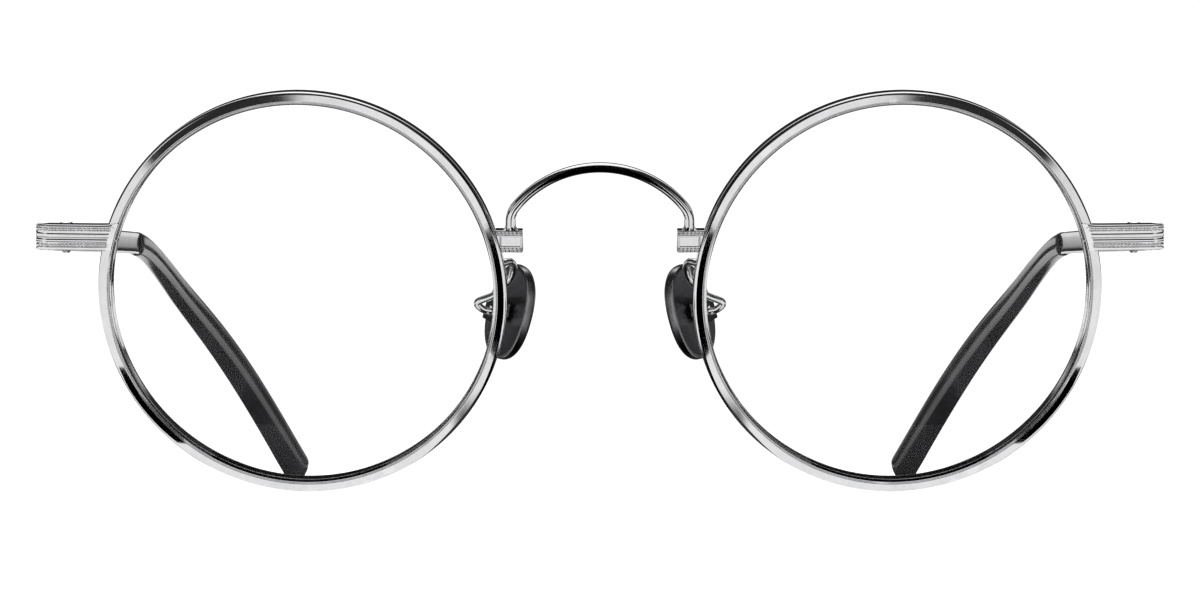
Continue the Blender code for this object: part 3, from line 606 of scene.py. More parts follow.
@dataclass
class Layout:
    """Frames that the sub-assemblies are drawn in, worked out from the fold joint."""

    eye_size: float = 46.0 * MM
    bridge_width: float = 24.0 * MM
    tilt: float = radians(13.0)
    wrap: float = radians(3.0)
    rim_wall: float = 1.05 * MM
    rim_depth: float = 2.2 * MM
    rim_lip: float = 0.45 * MM
    lug_middle: float = 6.65 * MM
    lug_height: float = 2.6 * MM
    lug_length: float = 2.8 * MM
    lug_depth: float = 1.7 * MM
    lug_set_back: float = 0.35 * MM
    end_middle: float = 6.7 * MM
    end_height: float = 3.1 * MM
    end_thick: float = 1.3 * MM
    end_reach: float = 8.15 * MM
    end_corner: float = 1.25 * MM
    end_proud: float = 0.45 * MM
    end_return: float = 8.0 * MM
    gap: float = 0.05 * MM
    solder_gap: float = 0.03 * MM

    def __post_init__(self) -> None:
        """Work out the frames."""
        self.spacing = self.eye_size + self.bridge_width
        self.groove = self.eye_size / 2 + self.gap
        self.rim_outer = self.groove + self.rim_wall
        self.rim_inner = self.eye_size / 2 - self.rim_lip
        self.split = asin(self.end_middle / self.rim_outer)
        self.wall = self.spacing / 2 + self.rim_outer * cos(self.split) + self.end_reach
        self.wall_middle = self.wall - self.end_thick / 2
        self.tilt_matrix = Matrix.Rotation(self.tilt, 4, "X")
        self.eye_local = (Matrix.Translation((self.spacing / 2, 0, 0))
                          @ Matrix.Rotation(self.wrap, 4, "Z"))
        fold = next(j for j in frame["joints"] if j["name"] == "fold_left")
        axis = Vector(fold["axis"])
        self.hinge_world = Vector(fold["pos_m"])
        turn = Matrix.Rotation(atan2(-axis.y, axis.z), 4, "X")
        hinge = self.end_path()[2]
        local = Vector((self.hinge_world.x, hinge.y, hinge.z))
        shift = self.hinge_world - turn @ local
        self.stance = Matrix.Translation(shift) @ turn
        self.front = self.stance @ self.tilt_matrix
        self.eye = self.front @ self.eye_local
        self.hinge = self.stance @ Matrix.Translation(local)

    def end_path(self) -> tuple[list[Vector], list[Vector], Vector]:
        """Middle of the end piece strip, from the rim round the corner to the hinge.

        Returns:
            The path's points, each point's height axis, and the hinge's place on the wall.
        """
        eye = self.tilt_matrix @ self.eye_local
        inside = sqrt(self.rim_inner ** 2 - (self.end_middle + self.end_height / 2) ** 2)
        start = eye @ Vector((inside, self.end_thick / 2 - self.end_proud, self.end_middle))
        outward = (eye.to_3x3() @ X_AXIS).normalized()
        front_up = (eye.to_3x3() @ Z_AXIS).normalized()
        corner = start + outward * ((self.wall_middle - start.x) / outward.x)
        trim = self.end_corner * tan(acos(outward.y) / 2)
        bend_from, bend_to = corner - outward * trim, corner + Y_AXIS * trim
        centre = bend_to - X_AXIS * self.end_corner
        hinge = Vector((self.wall_middle, corner.y + self.end_return, bend_to.z))
        points, ups = [], []
        fine = 0.06 * MM
        for s in Draw.spaced(0, (bend_from - start).length, fine):
            points.append(start + outward * s)
            ups.append(front_up.copy())
        first = atan2(bend_from.y - centre.y, bend_from.x - centre.x)
        steps = ceil(self.end_corner * abs(first) / fine)
        for k in range(1, steps + 1):
            share = k / steps
            angle = first * (1 - share)
            points.append(Vector((centre.x + self.end_corner * cos(angle),
                                  centre.y + self.end_corner * sin(angle),
                                  bend_from.z + (bend_to.z - bend_from.z) * share)))
            ups.append(front_up * (1 - share) + Z_AXIS * share)
        last = hinge - Y_AXIS * self.gap
        for s in Draw.spaced(0, (last - bend_to).length, fine)[1:]:
            points.append(bend_to + Y_AXIS * s)
            ups.append(Z_AXIS.copy())
        return points, ups, hinge

    @staticmethod
    def stations(points: Sequence[Vector], ups: Sequence[Vector]) -> list[Station]:
        """(point, across, up) along a path, with up kept near its hint.

        Args:
            points: the path.
            ups: each point's hint for up.

        Returns:
            The stations.
        """
        made = []
        for k, point in enumerate(points):
            before, after = points[max(k - 1, 0)], points[min(k + 1, len(points) - 1)]
            along = (after - before).normalized()
            up = (ups[k] - along * ups[k].dot(along)).normalized()
            made.append((point, along.cross(up), up))
        return made

    def rim_cutter(self, lap_radius: float, slope: float) -> bpy.types.Mesh:
        """Disc that carves a piece to the rim, stepped in for what laps its front.

        Args:
            lap_radius: where the lapping part ends on the rim's face.
            slope: how far that end leans outwards towards the front.

        Returns:
            The disc.
        """
        clear = self.rim_outer + self.solder_gap
        outline = [(0.5 * MM, -3 * MM), (lap_radius + slope, -3 * MM),
                   (lap_radius + slope, -self.end_proud), (lap_radius, -self.solder_gap),
                   (clear, -self.solder_gap), (clear, 8 * MM), (0.5 * MM, 8 * MM)]
        return Smith.lathe("cutter", outline, 240)


@dataclass
class Rims:
    """Grooved wire rims and the lenses they hold."""

    layout: Layout
    segments: int = 288
    face_cone: float = radians(10.0)    # the front face leans outwards all round
    face_width: float = 0.74 * MM
    crease_width: float = 0.20 * MM
    crease_depth: float = 0.32 * MM
    bevel_drop: float = 0.42 * MM
    outer_round: float = 0.46 * MM
    loop: float = 0.03 * MM             # keeps the flat face's shading flat
    corner_share: float = 0.7           # share of the outer corner's radius seen in front
    groove_half: float = 0.45 * MM
    groove_set_back: float = 0.05 * MM
    crease_lip: float = 0.03 * MM
    inner_round: float = 0.12 * MM
    back_inner_round: float = 0.2 * MM
    back_outer_round: float = 0.25 * MM
    lens_chamfer: float = 0.06 * MM
    split_width: float = 0.24 * MM
    lens_thick: float = 1.8 * MM
    lens_curve: float = 132.0 * MM

    def outline(self) -> Outline:
        """Section of the rim wire as (radius, depth).

        Returns:
            The outline.
        """
        lay = self.layout
        outer, inner, deep = lay.rim_outer, lay.rim_inner, lay.rim_depth
        middle = deep / 2 + self.groove_set_back
        face_in = outer - self.outer_round * self.corner_share - self.face_width
        drop = self.face_width * tan(self.face_cone)
        corner = Draw.arc((outer - self.outer_round, drop + self.outer_round), self.outer_round,
                          0, -pi / 2 + self.face_cone, 7)
        crease_in = face_in - self.crease_width
        edge_in = face_in + self.crease_lip
        rise = tan(self.face_cone)
        start = corner[-1]
        front = corner + [(start[0] - self.loop, start[1] - self.loop * rise),
                          (edge_in + self.loop, 0.004 * MM + self.loop * rise),
                          (edge_in, 0.004 * MM), (face_in, 0.02 * MM),
                          (face_in - self.crease_width * 0.35, self.crease_depth),
                          (crease_in + self.crease_width * 0.15, self.crease_depth * 0.8),
                          (crease_in, 0.05 * MM), (crease_in - 0.04 * MM, 0.05 * MM)]
        inner_edge = Draw.arc((inner + self.inner_round, self.bevel_drop + 0.02 * MM),
                              self.inner_round, -pi * 0.65, -pi, 4)
        back = [(inner, middle - self.groove_half), (lay.groove, middle),
                (inner, middle + self.groove_half)]
        soft = self.back_inner_round
        back += Draw.arc((inner + soft, deep - soft), soft, pi, pi / 2, 4)
        soft = self.back_outer_round
        back += Draw.arc((outer - soft, deep - soft), soft, pi / 2, 0, 5)
        return front + inner_edge + back

    def lens_outline(self) -> Outline:
        """Section of the lens as (radius, height), front to back, from near the axis.

        Returns:
            The outline.
        """
        lay = self.layout
        shoulder = lay.rim_inner - lay.gap
        middle = lay.rim_depth / 2 + self.groove_set_back
        bevel = self.groove_half - lay.gap
        half = self.lens_thick / 2
        chamfer = self.lens_chamfer

        def surface(r: float, offset: float) -> float:
            """Depth of a lens face at radius r."""
            bulge = sqrt(self.lens_curve ** 2 - r ** 2) - sqrt(self.lens_curve ** 2 - shoulder ** 2)
            return middle - bulge + offset

        radii = [shoulder * k / 16 for k in range(1, 16)]
        front = [(r, surface(r, -half)) for r in radii]
        edge = [(shoulder - chamfer, surface(shoulder, -half)),
                (shoulder, surface(shoulder, -half) + chamfer), (shoulder, middle - bevel),
                (self.layout.eye_size / 2, middle), (shoulder, middle + bevel),
                (shoulder, surface(shoulder, half) - chamfer),
                (shoulder - chamfer, surface(shoulder, half))]
        back = [(r, surface(r, half)) for r in reversed(radii)]
        return front + edge + back

    def lens_mesh(self) -> bpy.types.Mesh:
        """Meniscus lens with its bevel in the rim's groove.

        Returns:
            The mesh.
        """
        stations, outlines = [], []
        for r, y in self.lens_outline():
            stations.append((Y_AXIS * y, X_AXIS, Z_AXIS))
            outlines.append(Draw.oval(r, r, 2.0, 160))
        return Smith.loft("lens", stations, outlines)

    def build(self, smith: Smith) -> None:
        """Make the rims and lenses.

        Args:
            smith: makes and places the pieces.
        """
        half = self.split_width / 2 / self.layout.rim_outer
        wire = Smith.lathe("rim", self.outline(), self.segments, self.layout.split + half,
                           2 * pi - 2 * half)
        smith.pair("rim_wire", wire, self.layout.eye, "front_frame", Slot.SILVER, "rim")
        smith.pair("clear_lens", self.lens_mesh(), self.layout.eye, "front_frame", Slot.LENS,
                   "lens")


@dataclass
class Milling:
    """Beaded rows and lines worked into a strip's outer face."""

    pitch: float = 0.45 * MM
    bead: float = 0.19 * MM            # bead radius
    channel: float = 0.25 * MM         # half width of the channel a bead row lies in
    channel_depth: float = 0.14 * MM
    line_half: float = 0.07 * MM
    line_depth: float = 0.09 * MM

    def beads(self, s: float, offset: float) -> float:
        """Height of a bead row, offset away from its middle line, at distance s along it.

        Args:
            s: distance along the row.
            offset: distance from its middle line.

        Returns:
            The height over the face, below zero in the channel.
        """
        sink = self.channel_depth * (1 - Draw.ease(0, 1, (abs(offset) - self.channel * 0.75)
                                                   / (self.channel * 0.25)))
        along = (s / self.pitch - floor(s / self.pitch) - 0.5) * self.pitch
        dome = self.bead ** 2 - along ** 2 - offset ** 2
        return max(-sink, -self.channel_depth + sqrt(dome) * 0.95 if dome > 0 else -sink)

    def line(self, offset: float) -> float:
        """Depth of an engraved line, offset away from its middle."""
        return -self.line_depth * (1 - Draw.ease(0, 1, abs(offset) / self.line_half))


@dataclass
class EndPieces:
    """Milled strips that lap on the rims and turn back to the hinges."""

    layout: Layout
    milling: Milling
    rows: int = 76                     # points over the face's height
    edge: float = 0.22 * MM
    upper_row: float = 1.05 * MM
    lower_row: float = -0.88 * MM
    middle_line: float = 0.04 * MM
    ridge: float = 0.05 * MM
    ridge_width: float = 0.10 * MM
    ridge_rows: tuple[float, ...] = (-0.28 * MM, 0.40 * MM, -0.52 * MM)
    back_chamfer: float = 0.12 * MM
    flare_length: float = 0.5 * MM
    flare: float = 0.12 * MM           # solder flare where the strip meets the rim
    lap: float = 1.15 * MM
    lap_slope: float = 0.60 * MM
    plain_end: float = 0.3 * MM

    def relief(self, s: float, v: float) -> float:
        """Height of the worked face at distance s along the strip and height v.

        Args:
            s: distance along the strip.
            v: height over its middle line.

        Returns:
            The height over the plain face.
        """
        cut = self.milling.beads(s, v - self.upper_row) + self.milling.beads(s, v - self.lower_row)
        cut += self.milling.line(v - self.middle_line)
        for row in self.ridge_rows:
            cut += self.ridge * exp(-((v - row) / self.ridge_width) ** 2)
        return cut

    def outline(self, s: float, half_up: float, worked: float) -> Outline:
        """Section of the strip, with its worked face outwards.

        Args:
            s: distance along the strip.
            half_up: half the strip's height.
            worked: how strongly the face is worked, 0 to 1.

        Returns:
            The outline.
        """
        half = self.layout.end_thick / 2
        flat = half_up - self.edge
        face = []
        for k in range(self.rows + 1):
            v = -flat + 2 * flat * k / self.rows
            height = self.relief(s, v * self.layout.end_height / 2 / half_up)
            face.append((half + height * worked, v))
        top = Draw.arc((half - self.edge, flat), self.edge, 0, pi / 2, 5)[1:]
        low = Draw.arc((half - self.edge, -flat), self.edge, -pi / 2, 0, 5)[:-1]
        inner = self.back_chamfer
        back = [(-half + inner, half_up), (-half, half_up - inner), (-half, 0),
                (-half, -half_up + inner), (-half + inner, -half_up)]
        ring = face + top + back + low
        middle = self.rows // 2
        return ring[middle:] + ring[:middle]

    def build(self, smith: Smith) -> None:
        """Make the end pieces.

        Args:
            smith: makes and places the pieces.
        """
        points, ups, _ = self.layout.end_path()
        stations = self.layout.stations(points, ups)
        outlines = []
        s = 0.0
        length = sum((b - a).length for a, b in zip(points, points[1:]))
        rim_edge = self.layout.rim_outer - self.layout.rim_inner
        for k, point in enumerate(points):
            if k:
                s += (point - points[k - 1]).length
            widened = self.flare * exp(-max(s - rim_edge * 0.6, 0) / self.flare_length)
            worked = min(s / self.plain_end, (length - s) / self.plain_end, 1.0)
            outlines.append(self.outline(s, self.layout.end_height / 2 + widened, worked))
        strip = Smith.loft("end_piece", stations, outlines)
        strip.transform(self.layout.stance)
        cutter = self.layout.rim_cutter(self.layout.rim_outer - self.lap, self.lap_slope)
        cutter.transform(self.layout.eye)
        cut = Smith.boolean(strip, cutter, "DIFFERENCE")
        smith.pair("milled_end_piece", cut, Matrix.Identity(4), "front_frame", Slot.SILVER,
                   "end_piece")


@dataclass
class BridgeWork:
    """Arched bridge wire and the two beaded lugs it stands on."""

    layout: Layout
    milling: Milling
    arch_height: float = 15.3 * MM
    arch_radius: float = 12.7 * MM
    shoulder: float = 2.75 * MM
    thick: float = 1.2 * MM
    deep: float = 1.6 * MM
    foot_flare: float = 0.35 * MM
    foot_flare_height: float = 0.16 * MM
    panel_depth: float = 0.16 * MM
    panel_half: float = 0.62 * MM      # half the recessed panel's height
    panel_margin: float = 0.22 * MM    # plain face at each end of the panel
    panel_edge: float = 0.07 * MM
    lug_edge: float = 0.16 * MM
    back_chamfer: float = 0.1 * MM
    row_offset: float = 0.93 * MM
    rows: int = 64
    columns: int = 84

    def arch(self) -> bpy.types.Mesh:
        """Bridge wire with legs that flare where they are soldered to the lugs.

        Returns:
            The mesh.
        """
        lay = self.layout
        rim_edge = sqrt(lay.rim_outer ** 2 - lay.lug_middle ** 2)
        foot = lay.eye_local @ Vector((-rim_edge - lay.lug_length / 2,
                                       lay.lug_set_back + lay.lug_depth / 2, 0))
        foot_z = lay.lug_middle + lay.lug_height / 2 + lay.solder_gap
        arch_z = self.arch_height - self.arch_radius
        reach = foot.x - self.shoulder
        inner = self.arch_radius - self.shoulder
        turn = acos(reach / inner)
        shoulder_z = arch_z + inner * sin(turn)
        half = [(foot.x, foot_z + (shoulder_z - foot_z) * k / 10) for k in range(10)]
        half += Draw.arc((reach, shoulder_z), self.shoulder, 0, turn, 16)
        half += Draw.arc((0, arch_z), self.arch_radius, turn, pi / 2, 44)[1:]
        other = [(-x, z) for x, z in reversed(half[:-1])]
        points = [Vector((x, foot.y, z)) for x, z in half + other]
        stations = lay.stations(points, [Y_AXIS] * len(points))
        outlines = []
        for point in points:
            flare = self.foot_flare * exp(-(point.z - foot_z) / self.foot_flare_height)
            outlines.append(Draw.oval(self.thick / 2 + flare, self.deep / 2 + flare * 0.2, 2.2, 28))
        return Smith.loft("bridge", stations, outlines)

    def relief(self, x: float, z: float, half: float) -> float:
        """Height of the lug's worked front at x along it and height z.

        Args:
            x: distance from the face's middle.
            z: height over its middle.
            half: half the face's length.

        Returns:
            The height over the plain face.
        """
        cut = self.milling.beads(x, z - self.row_offset)
        cut += self.milling.beads(x, z + self.row_offset)
        inside = min(self.panel_half - abs(z), half - self.panel_margin - abs(x)) / self.panel_edge
        return cut - self.panel_depth * Draw.ease(0, 1, inside)

    def lug(self) -> bpy.types.Mesh:
        """Beaded block, as a grid front with a plain back, carved to the rim.

        Returns:
            The mesh.
        """
        lay = self.layout
        rim_edge = sqrt(lay.rim_outer ** 2 - lay.lug_middle ** 2)
        low_x, high_x = -rim_edge - lay.lug_length, -rim_edge + lay.rim_wall
        half_z = lay.lug_height / 2
        edge, chamfer = self.lug_edge, self.back_chamfer
        face_middle = -rim_edge - lay.lug_length / 2
        stations, outlines = [], []
        for k in range(self.columns + 1):
            x = low_x + (high_x - low_x) * k / self.columns
            inset = edge - sqrt(max(edge ** 2 - max(edge - (x - low_x), 0) ** 2, 0))
            flat = half_z - edge
            face = []
            for i in range(self.rows + 1):
                z = -flat + 2 * flat * i / self.rows
                worked = self.relief(x - face_middle, z, lay.lug_length / 2)
                face.append((-lay.lug_depth / 2 + inset - worked, z))
            top = Draw.arc((-lay.lug_depth / 2 + edge + inset, flat), edge, pi, pi / 2, 4)[1:]
            low = Draw.arc((-lay.lug_depth / 2 + edge + inset, -flat), edge, -pi / 2, -pi, 4)[:-1]
            back = lay.lug_depth / 2 - inset
            outline = face + top + [(back - chamfer, half_z), (back, half_z - chamfer),
                                    (back, -half_z + chamfer), (back - chamfer, -half_z)] + low
            point = Vector((x, lay.lug_set_back + lay.lug_depth / 2, lay.lug_middle))
            stations.append((point, Y_AXIS, Z_AXIS))
            outlines.append(outline)
        block = Smith.loft("lug", stations, outlines)
        return Smith.boolean(block, lay.rim_cutter(lay.rim_inner, 0), "DIFFERENCE")

    def build(self, smith: Smith) -> None:
        """Make the bridge and its lugs.

        Args:
            smith: makes and places the pieces.
        """
        arch = self.arch()
        arch.transform(self.layout.front)
        smith.place("bridge_arch", arch, "front_frame", Slot.SILVER, ["bridge"])
        smith.pair("beaded_lug", self.lug(), self.layout.eye, "front_frame", Slot.SILVER,
                   "bridge_lug")


@dataclass
class Temples:
    """Metal sides with a core wire, and the acetate tips over them."""

    layout: Layout
    milling: Milling
    length: float = 145.0 * MM
    thick: float = 1.3 * MM
    tall: float = 3.1 * MM
    toe_in: float = radians(1.8)
    leaf: float = 4.6 * MM
    end_thick: float = 1.15 * MM       # at the acetate's mouth
    end_tall: float = 2.95 * MM
    shoulder: float = 0.5 * MM         # length of the step down to the core wire
    line_rows: tuple[float, ...] = (0.9 * MM, 0.04 * MM, -0.8 * MM)
    fade_from: float = 0.6             # share of the strip after which the lines fade
    fade_over: float = 0.2
    strip_squareness: float = 7
    tip_squareness: float = 2.4
    tip_points: int = 32
    core_thick: float = 0.9 * MM
    core_tall: float = 1.4 * MM
    tip_length: float = 86.0 * MM
    tip_wall: float = 5.0 * MM
    mouth_thick: float = 2.2 * MM
    mouth_tall: float = 3.3 * MM
    paddle_thick: float = 2.9 * MM
    paddle_tall: float = 5.4 * MM
    end_round: float = 2.0 * MM
    mouth_lead: float = 0.4 * MM
    straight: float = 54.0 * MM
    first_length: float = 33.0 * MM
    first_bend: float = radians(20.0)
    ear_length: float = 58.0 * MM
    ear_bend: float = radians(45.0)
    curl_start: float = 72.0 * MM
    curl: float = radians(27.0)

    def heading(self, s: float) -> Vector:
        """Direction of the temple's middle line at distance s from the hinge.

        Args:
            s: the distance.

        Returns:
            A unit vector.
        """
        first = min(max((s - self.straight) / self.first_length, 0), 1)
        ear = (s - self.straight - self.first_length) / self.ear_length
        down = self.first_bend * first + Draw.ease(0, self.ear_bend - self.first_bend, ear)
        toe = min(max((s - self.leaf) / self.leaf, 0), 1)
        curl = max((s - self.curl_start) / (self.length - self.curl_start), 0)
        turn = self.toe_in * toe + self.curl * curl
        return Vector((-cos(down) * sin(turn), cos(down) * cos(turn), -sin(down)))

    def stations(self, distances: Sequence[float]) -> list[Station]:
        """(point, across, up) on the middle line at each distance.

        Args:
            distances: distances from the hinge, rising.

        Returns:
            The stations.
        """
        fine = 0.25 * MM
        point = Vector((self.layout.wall_middle - self.layout.hinge_world.x, 0, 0))
        made = []
        travelled = 0.0
        for distance in distances:
            while travelled < distance - 1e-9:
                step = min(fine, distance - travelled)
                point = point + self.heading(travelled + step / 2) * step
                travelled += step
            along = self.heading(distance)
            across = along.cross(Z_AXIS).normalized()
            made.append((point.copy(), across, across.cross(along)))
        return made

    def strip_outline(self, s: float, flat_end: float) -> Outline:
        """Section of the metal side, with three engraved lines on its outer face.

        Args:
            s: distance from the hinge.
            flat_end: where the flat strip ends.

        Returns:
            The outline.
        """
        share = s / flat_end
        half = Draw.ease(self.thick, self.end_thick, share) / 2
        half_up = Draw.ease(self.tall, self.end_tall, share) / 2
        faded = (s - flat_end * self.fade_from) / (flat_end * self.fade_over)
        worked = 1 - Draw.ease(0, 1, faded)
        made = []
        for a, b in Draw.oval(half, half_up, self.strip_squareness, 72):
            if a > half * 0.8 and abs(b) < half_up * 0.93:
                v = b * self.tall / 2 / half_up
                a += worked * sum(self.milling.line(v - row) for row in self.line_rows)
            made.append((a, b))
        return made

    def side_mesh(self) -> bpy.types.Mesh:
        """Metal side from the hinge to the end of its core wire.

        Returns:
            The mesh.
        """
        core_start = self.length - self.tip_length - self.layout.gap
        flat_end = core_start - self.shoulder
        strip = Draw.spaced(self.layout.gap, flat_end, 0.4 * MM)
        core = Draw.spaced(core_start, self.length - self.tip_wall, 1.5 * MM)
        wire = Draw.oval(self.core_thick / 2, self.core_tall / 2, 2.5, 72)
        outlines = [self.strip_outline(s, flat_end) for s in strip] + [wire] * len(core)
        return Smith.loft("side", self.stations(strip + core), outlines)

    def tip_size(self, s: float) -> tuple[float, float]:
        """Thickness and height of the acetate at distance s.

        Args:
            s: distance from the hinge.

        Returns:
            The thickness and the height.
        """
        mouth = self.length - self.tip_length
        share = (s - mouth) / (self.length - 0.2 * self.tip_length - mouth)
        return (Draw.ease(self.mouth_thick, self.paddle_thick, share),
                Draw.ease(self.mouth_tall, self.paddle_tall, share))

    def tip_oval(self, half_across: float, half_up: float) -> Outline:
        """Section of the acetate."""
        return Draw.oval(half_across, half_up, self.tip_squareness, self.tip_points)

    def tip_mesh(self) -> bpy.types.Mesh:
        """Acetate sleeve with a blind bore and a rounded mouth and end.

        Returns:
            The mesh.
        """
        mouth = self.length - self.tip_length
        bore_end = self.length - self.tip_wall + 0.5 * MM
        round_start = self.length - self.end_round
        gap = 2 * self.layout.gap
        bore = Draw.oval(self.core_thick / 2 + gap, self.core_tall / 2 + gap, 2.5, self.tip_points)
        distances = list(reversed(Draw.spaced(mouth + 0.1 * MM, bore_end, 3 * MM)))
        outlines = [bore] * len(distances)
        thick, tall = self.tip_size(mouth)
        lead = self.mouth_lead
        for k in range(7):
            angle = pi / 2 * k / 6
            inset = lead * (1 - sin(angle))
            distances.append(mouth + lead * (1 - cos(angle)))
            outlines.append(self.tip_oval(thick / 2 - inset, tall / 2 - inset))
        for s in Draw.spaced(mouth + lead, round_start, 1.0 * MM)[1:]:
            thick, tall = self.tip_size(s)
            distances.append(s)
            outlines.append(self.tip_oval(thick / 2, tall / 2))
        for k in range(1, 13):
            share = sin(pi / 2 * k / 12)
            left = max(1 - share ** 2.6, 0.004) ** (1 / 2.6)
            distances.append(round_start + self.end_round * share)
            outlines.append(self.tip_oval(self.paddle_thick / 2 * left,
                                          self.paddle_tall / 2 * left))
        order = sorted(set(distances))
        at = dict(zip(order, self.stations(order)))
        return Smith.loft("tip", [at[d] for d in distances], outlines, 50.0)

    def build(self, smith: Smith) -> None:
        """Make the metal sides and the acetate tips.

        Args:
            smith: makes and places the pieces.
        """
        hinge = self.layout.hinge
        smith.pair("metal_side", self.side_mesh(), hinge, "{}_temple", Slot.SILVER, "temple")
        smith.pair("acetate_tip", self.tip_mesh(), hinge, "{}_temple", Slot.ACETATE, "temple_tip")


@dataclass
class NosePads:
    """Satin pads, their boxes and screws, and the wire arms that carry them."""

    layout: Layout
    length: float = 11.8 * MM
    width: float = 7.3 * MM
    plate: float = 1.5 * MM
    splay: float = radians(38.0)
    frontal: float = radians(15.0)
    standoff: float = 1.75 * MM
    lug_thick: float = 1.0 * MM
    lug_radius: float = 0.8 * MM
    screw: float = 0.35 * MM
    arm: float = 0.9 * MM
    box_wall: float = 0.45 * MM
    arm_root: float = 3.2 * MM
    arm_flare: float = 0.12 * MM
    arm_flare_length: float = 0.14 * MM
    arm_bends: tuple[Corner, ...] = (  # the arm's bends, in mm from its root
        (-0.1, 0.8, 0.1), (-1.2, 2.0, 0.2), (-1.6, 3.2, -0.8), (-1.15, 4.1, -2.4),
        (0.5, 4.2, -4.2))

    def __post_init__(self) -> None:
        """Work out the pad frame from its joint."""
        joint = next(j for j in frame["joints"] if j["name"] == "pad_rock_left")
        local = (Matrix.Rotation(-self.frontal, 4, "Y") @ Matrix.Rotation(-self.splay, 4, "Z"))
        turn = (self.layout.front.to_3x3() @ local.to_3x3()).to_4x4()
        self.seat = Matrix.Translation(Vector(joint["pos_m"])) @ turn
        self.roof = self.lug_radius + 3 * self.layout.gap

    def pad_mesh(self) -> bpy.types.Mesh:
        """Oval plate with a drilled lug on its back.

        Returns:
            The mesh.
        """
        inner = -self.standoff - self.plate / 2
        outer = -self.standoff + self.plate / 2
        rows = [(inner, 0.60), (inner + 0.02 * self.plate, 0.72)]
        rows += [(inner + self.plate * (0.5 - 0.48 * cos(pi * k / 12)),
                  0.80 + 0.20 * sin(pi * (0.15 + 0.35 * k / 6))) for k in range(1, 7)]
        rows += [(outer - 0.10 * MM, 0.985), (outer - 0.02 * MM, 0.955), (outer, 0.93),
                 (outer - 0.012 * MM, 0.905), (outer - 0.015 * MM, 0.55)]
        stations = [(X_AXIS * x, Y_AXIS, Z_AXIS) for x, _ in rows]
        outlines = []
        for _, share in rows:
            outlines.append(Draw.oval(self.width / 2 * share, self.length / 2 * share, 2.25, 72))
        plate = Smith.loft("pad", stations, outlines)
        eye = Draw.arc((0, 0), self.lug_radius, -pi / 2, pi / 2, 24)
        root = outer - 0.3 * MM
        outline = eye + [(root, self.lug_radius), (root, -self.lug_radius)]
        half = self.lug_thick / 2
        ends = [(Y_AXIS * y, X_AXIS, Z_AXIS) for y in (-half, half)]
        lug = Smith.loft("lug", ends, [outline, outline])
        solid = Smith.boolean(plate, lug, "UNION")
        hole = Draw.oval(self.screw + self.layout.gap, self.screw + self.layout.gap, 2, 32)
        bore = [(Y_AXIS * y, X_AXIS, Z_AXIS) for y in (-2 * MM, 2 * MM)]
        return Smith.boolean(solid, Smith.loft("bore", bore, [hole, hole]), "DIFFERENCE")

    def arm_mesh(self) -> bpy.types.Mesh:
        """Curved wire from the back of the rim to the pad box, flared where it is soldered.

        Returns:
            The mesh.
        """
        lay = self.layout
        middle = (lay.rim_outer + lay.rim_inner) / 2
        root = lay.eye_local @ Vector((-sqrt(middle ** 2 - self.arm_root ** 2),
                                       lay.rim_depth + lay.solder_gap, self.arm_root))
        seat = lay.front.inverted() @ self.seat
        back = seat @ Vector((self.roof + self.box_wall + lay.solder_gap, 0, 0))
        outward = seat.to_3x3() @ X_AXIS
        points = [root] + [root + Vector(bend) * MM for bend in self.arm_bends]
        points += [back + outward * 1.3 * MM + Vector((0.35, -0.1, 1.0)) * MM,
                   back + outward * 1.0 * MM + Vector((0.1, 0, 0.15)) * MM, back]
        curve = Draw.smooth(points, 12)
        stations, outlines = [], []
        up = Z_AXIS.copy()
        for k, point in enumerate(curve):
            if k == 0:
                along = Y_AXIS
            elif k == len(curve) - 1:
                along = -outward
            else:
                along = (curve[k + 1] - curve[k - 1]).normalized()
            up = (up - along * up.dot(along)).normalized()
            stations.append((point, along.cross(up), up.copy()))
            ends = min((point - curve[0]).length, (point - curve[-1]).length)
            radius = self.arm / 2 + self.arm_flare * exp(-ends / self.arm_flare_length)
            outlines.append(Draw.oval(radius, radius, 2, 20))
        return Smith.loft("arm", stations, outlines)

    def build(self, smith: Smith) -> None:
        """Make the pads and arms, and dress the boxes and screws.

        Args:
            smith: makes and places the pieces.
        """
        smith.pair("satin_pad", self.pad_mesh(), self.seat, "{}_pad", Slot.TITANIUM, "nose_pad")
        smith.pair("wire_arm", self.arm_mesh(), self.layout.front, "front_frame", Slot.SILVER,
                   "pad_arm")
        for side in Side:
            smith.dress(f"pad_box_{side.value}", Slot.SILVER, 0.06 * MM)
            smith.dress(f"pad_screw_{side.value}", Slot.STEEL, 0.03 * MM)


@dataclass
class Hardware:
    """Hinges and rim locks, which keep the frame's solids."""

    soften: float = 0.05 * MM

    def build(self, smith: Smith) -> None:
        """Dress every hinge and lock piece.

        Args:
            smith: makes and places the pieces.
        """
        for side in Side:
            for node in ("hinge_front", "hinge_rear", "rim_lock_upper", "rim_lock_lower"):
                smith.dress(f"{node}_{side.value}", Slot.SILVER, self.soften)
            for node in ("hinge_screw", "rim_lock_screw"):
                smith.dress(f"{node}_{side.value}", Slot.STEEL, self.soften * 0.6)


# Studio


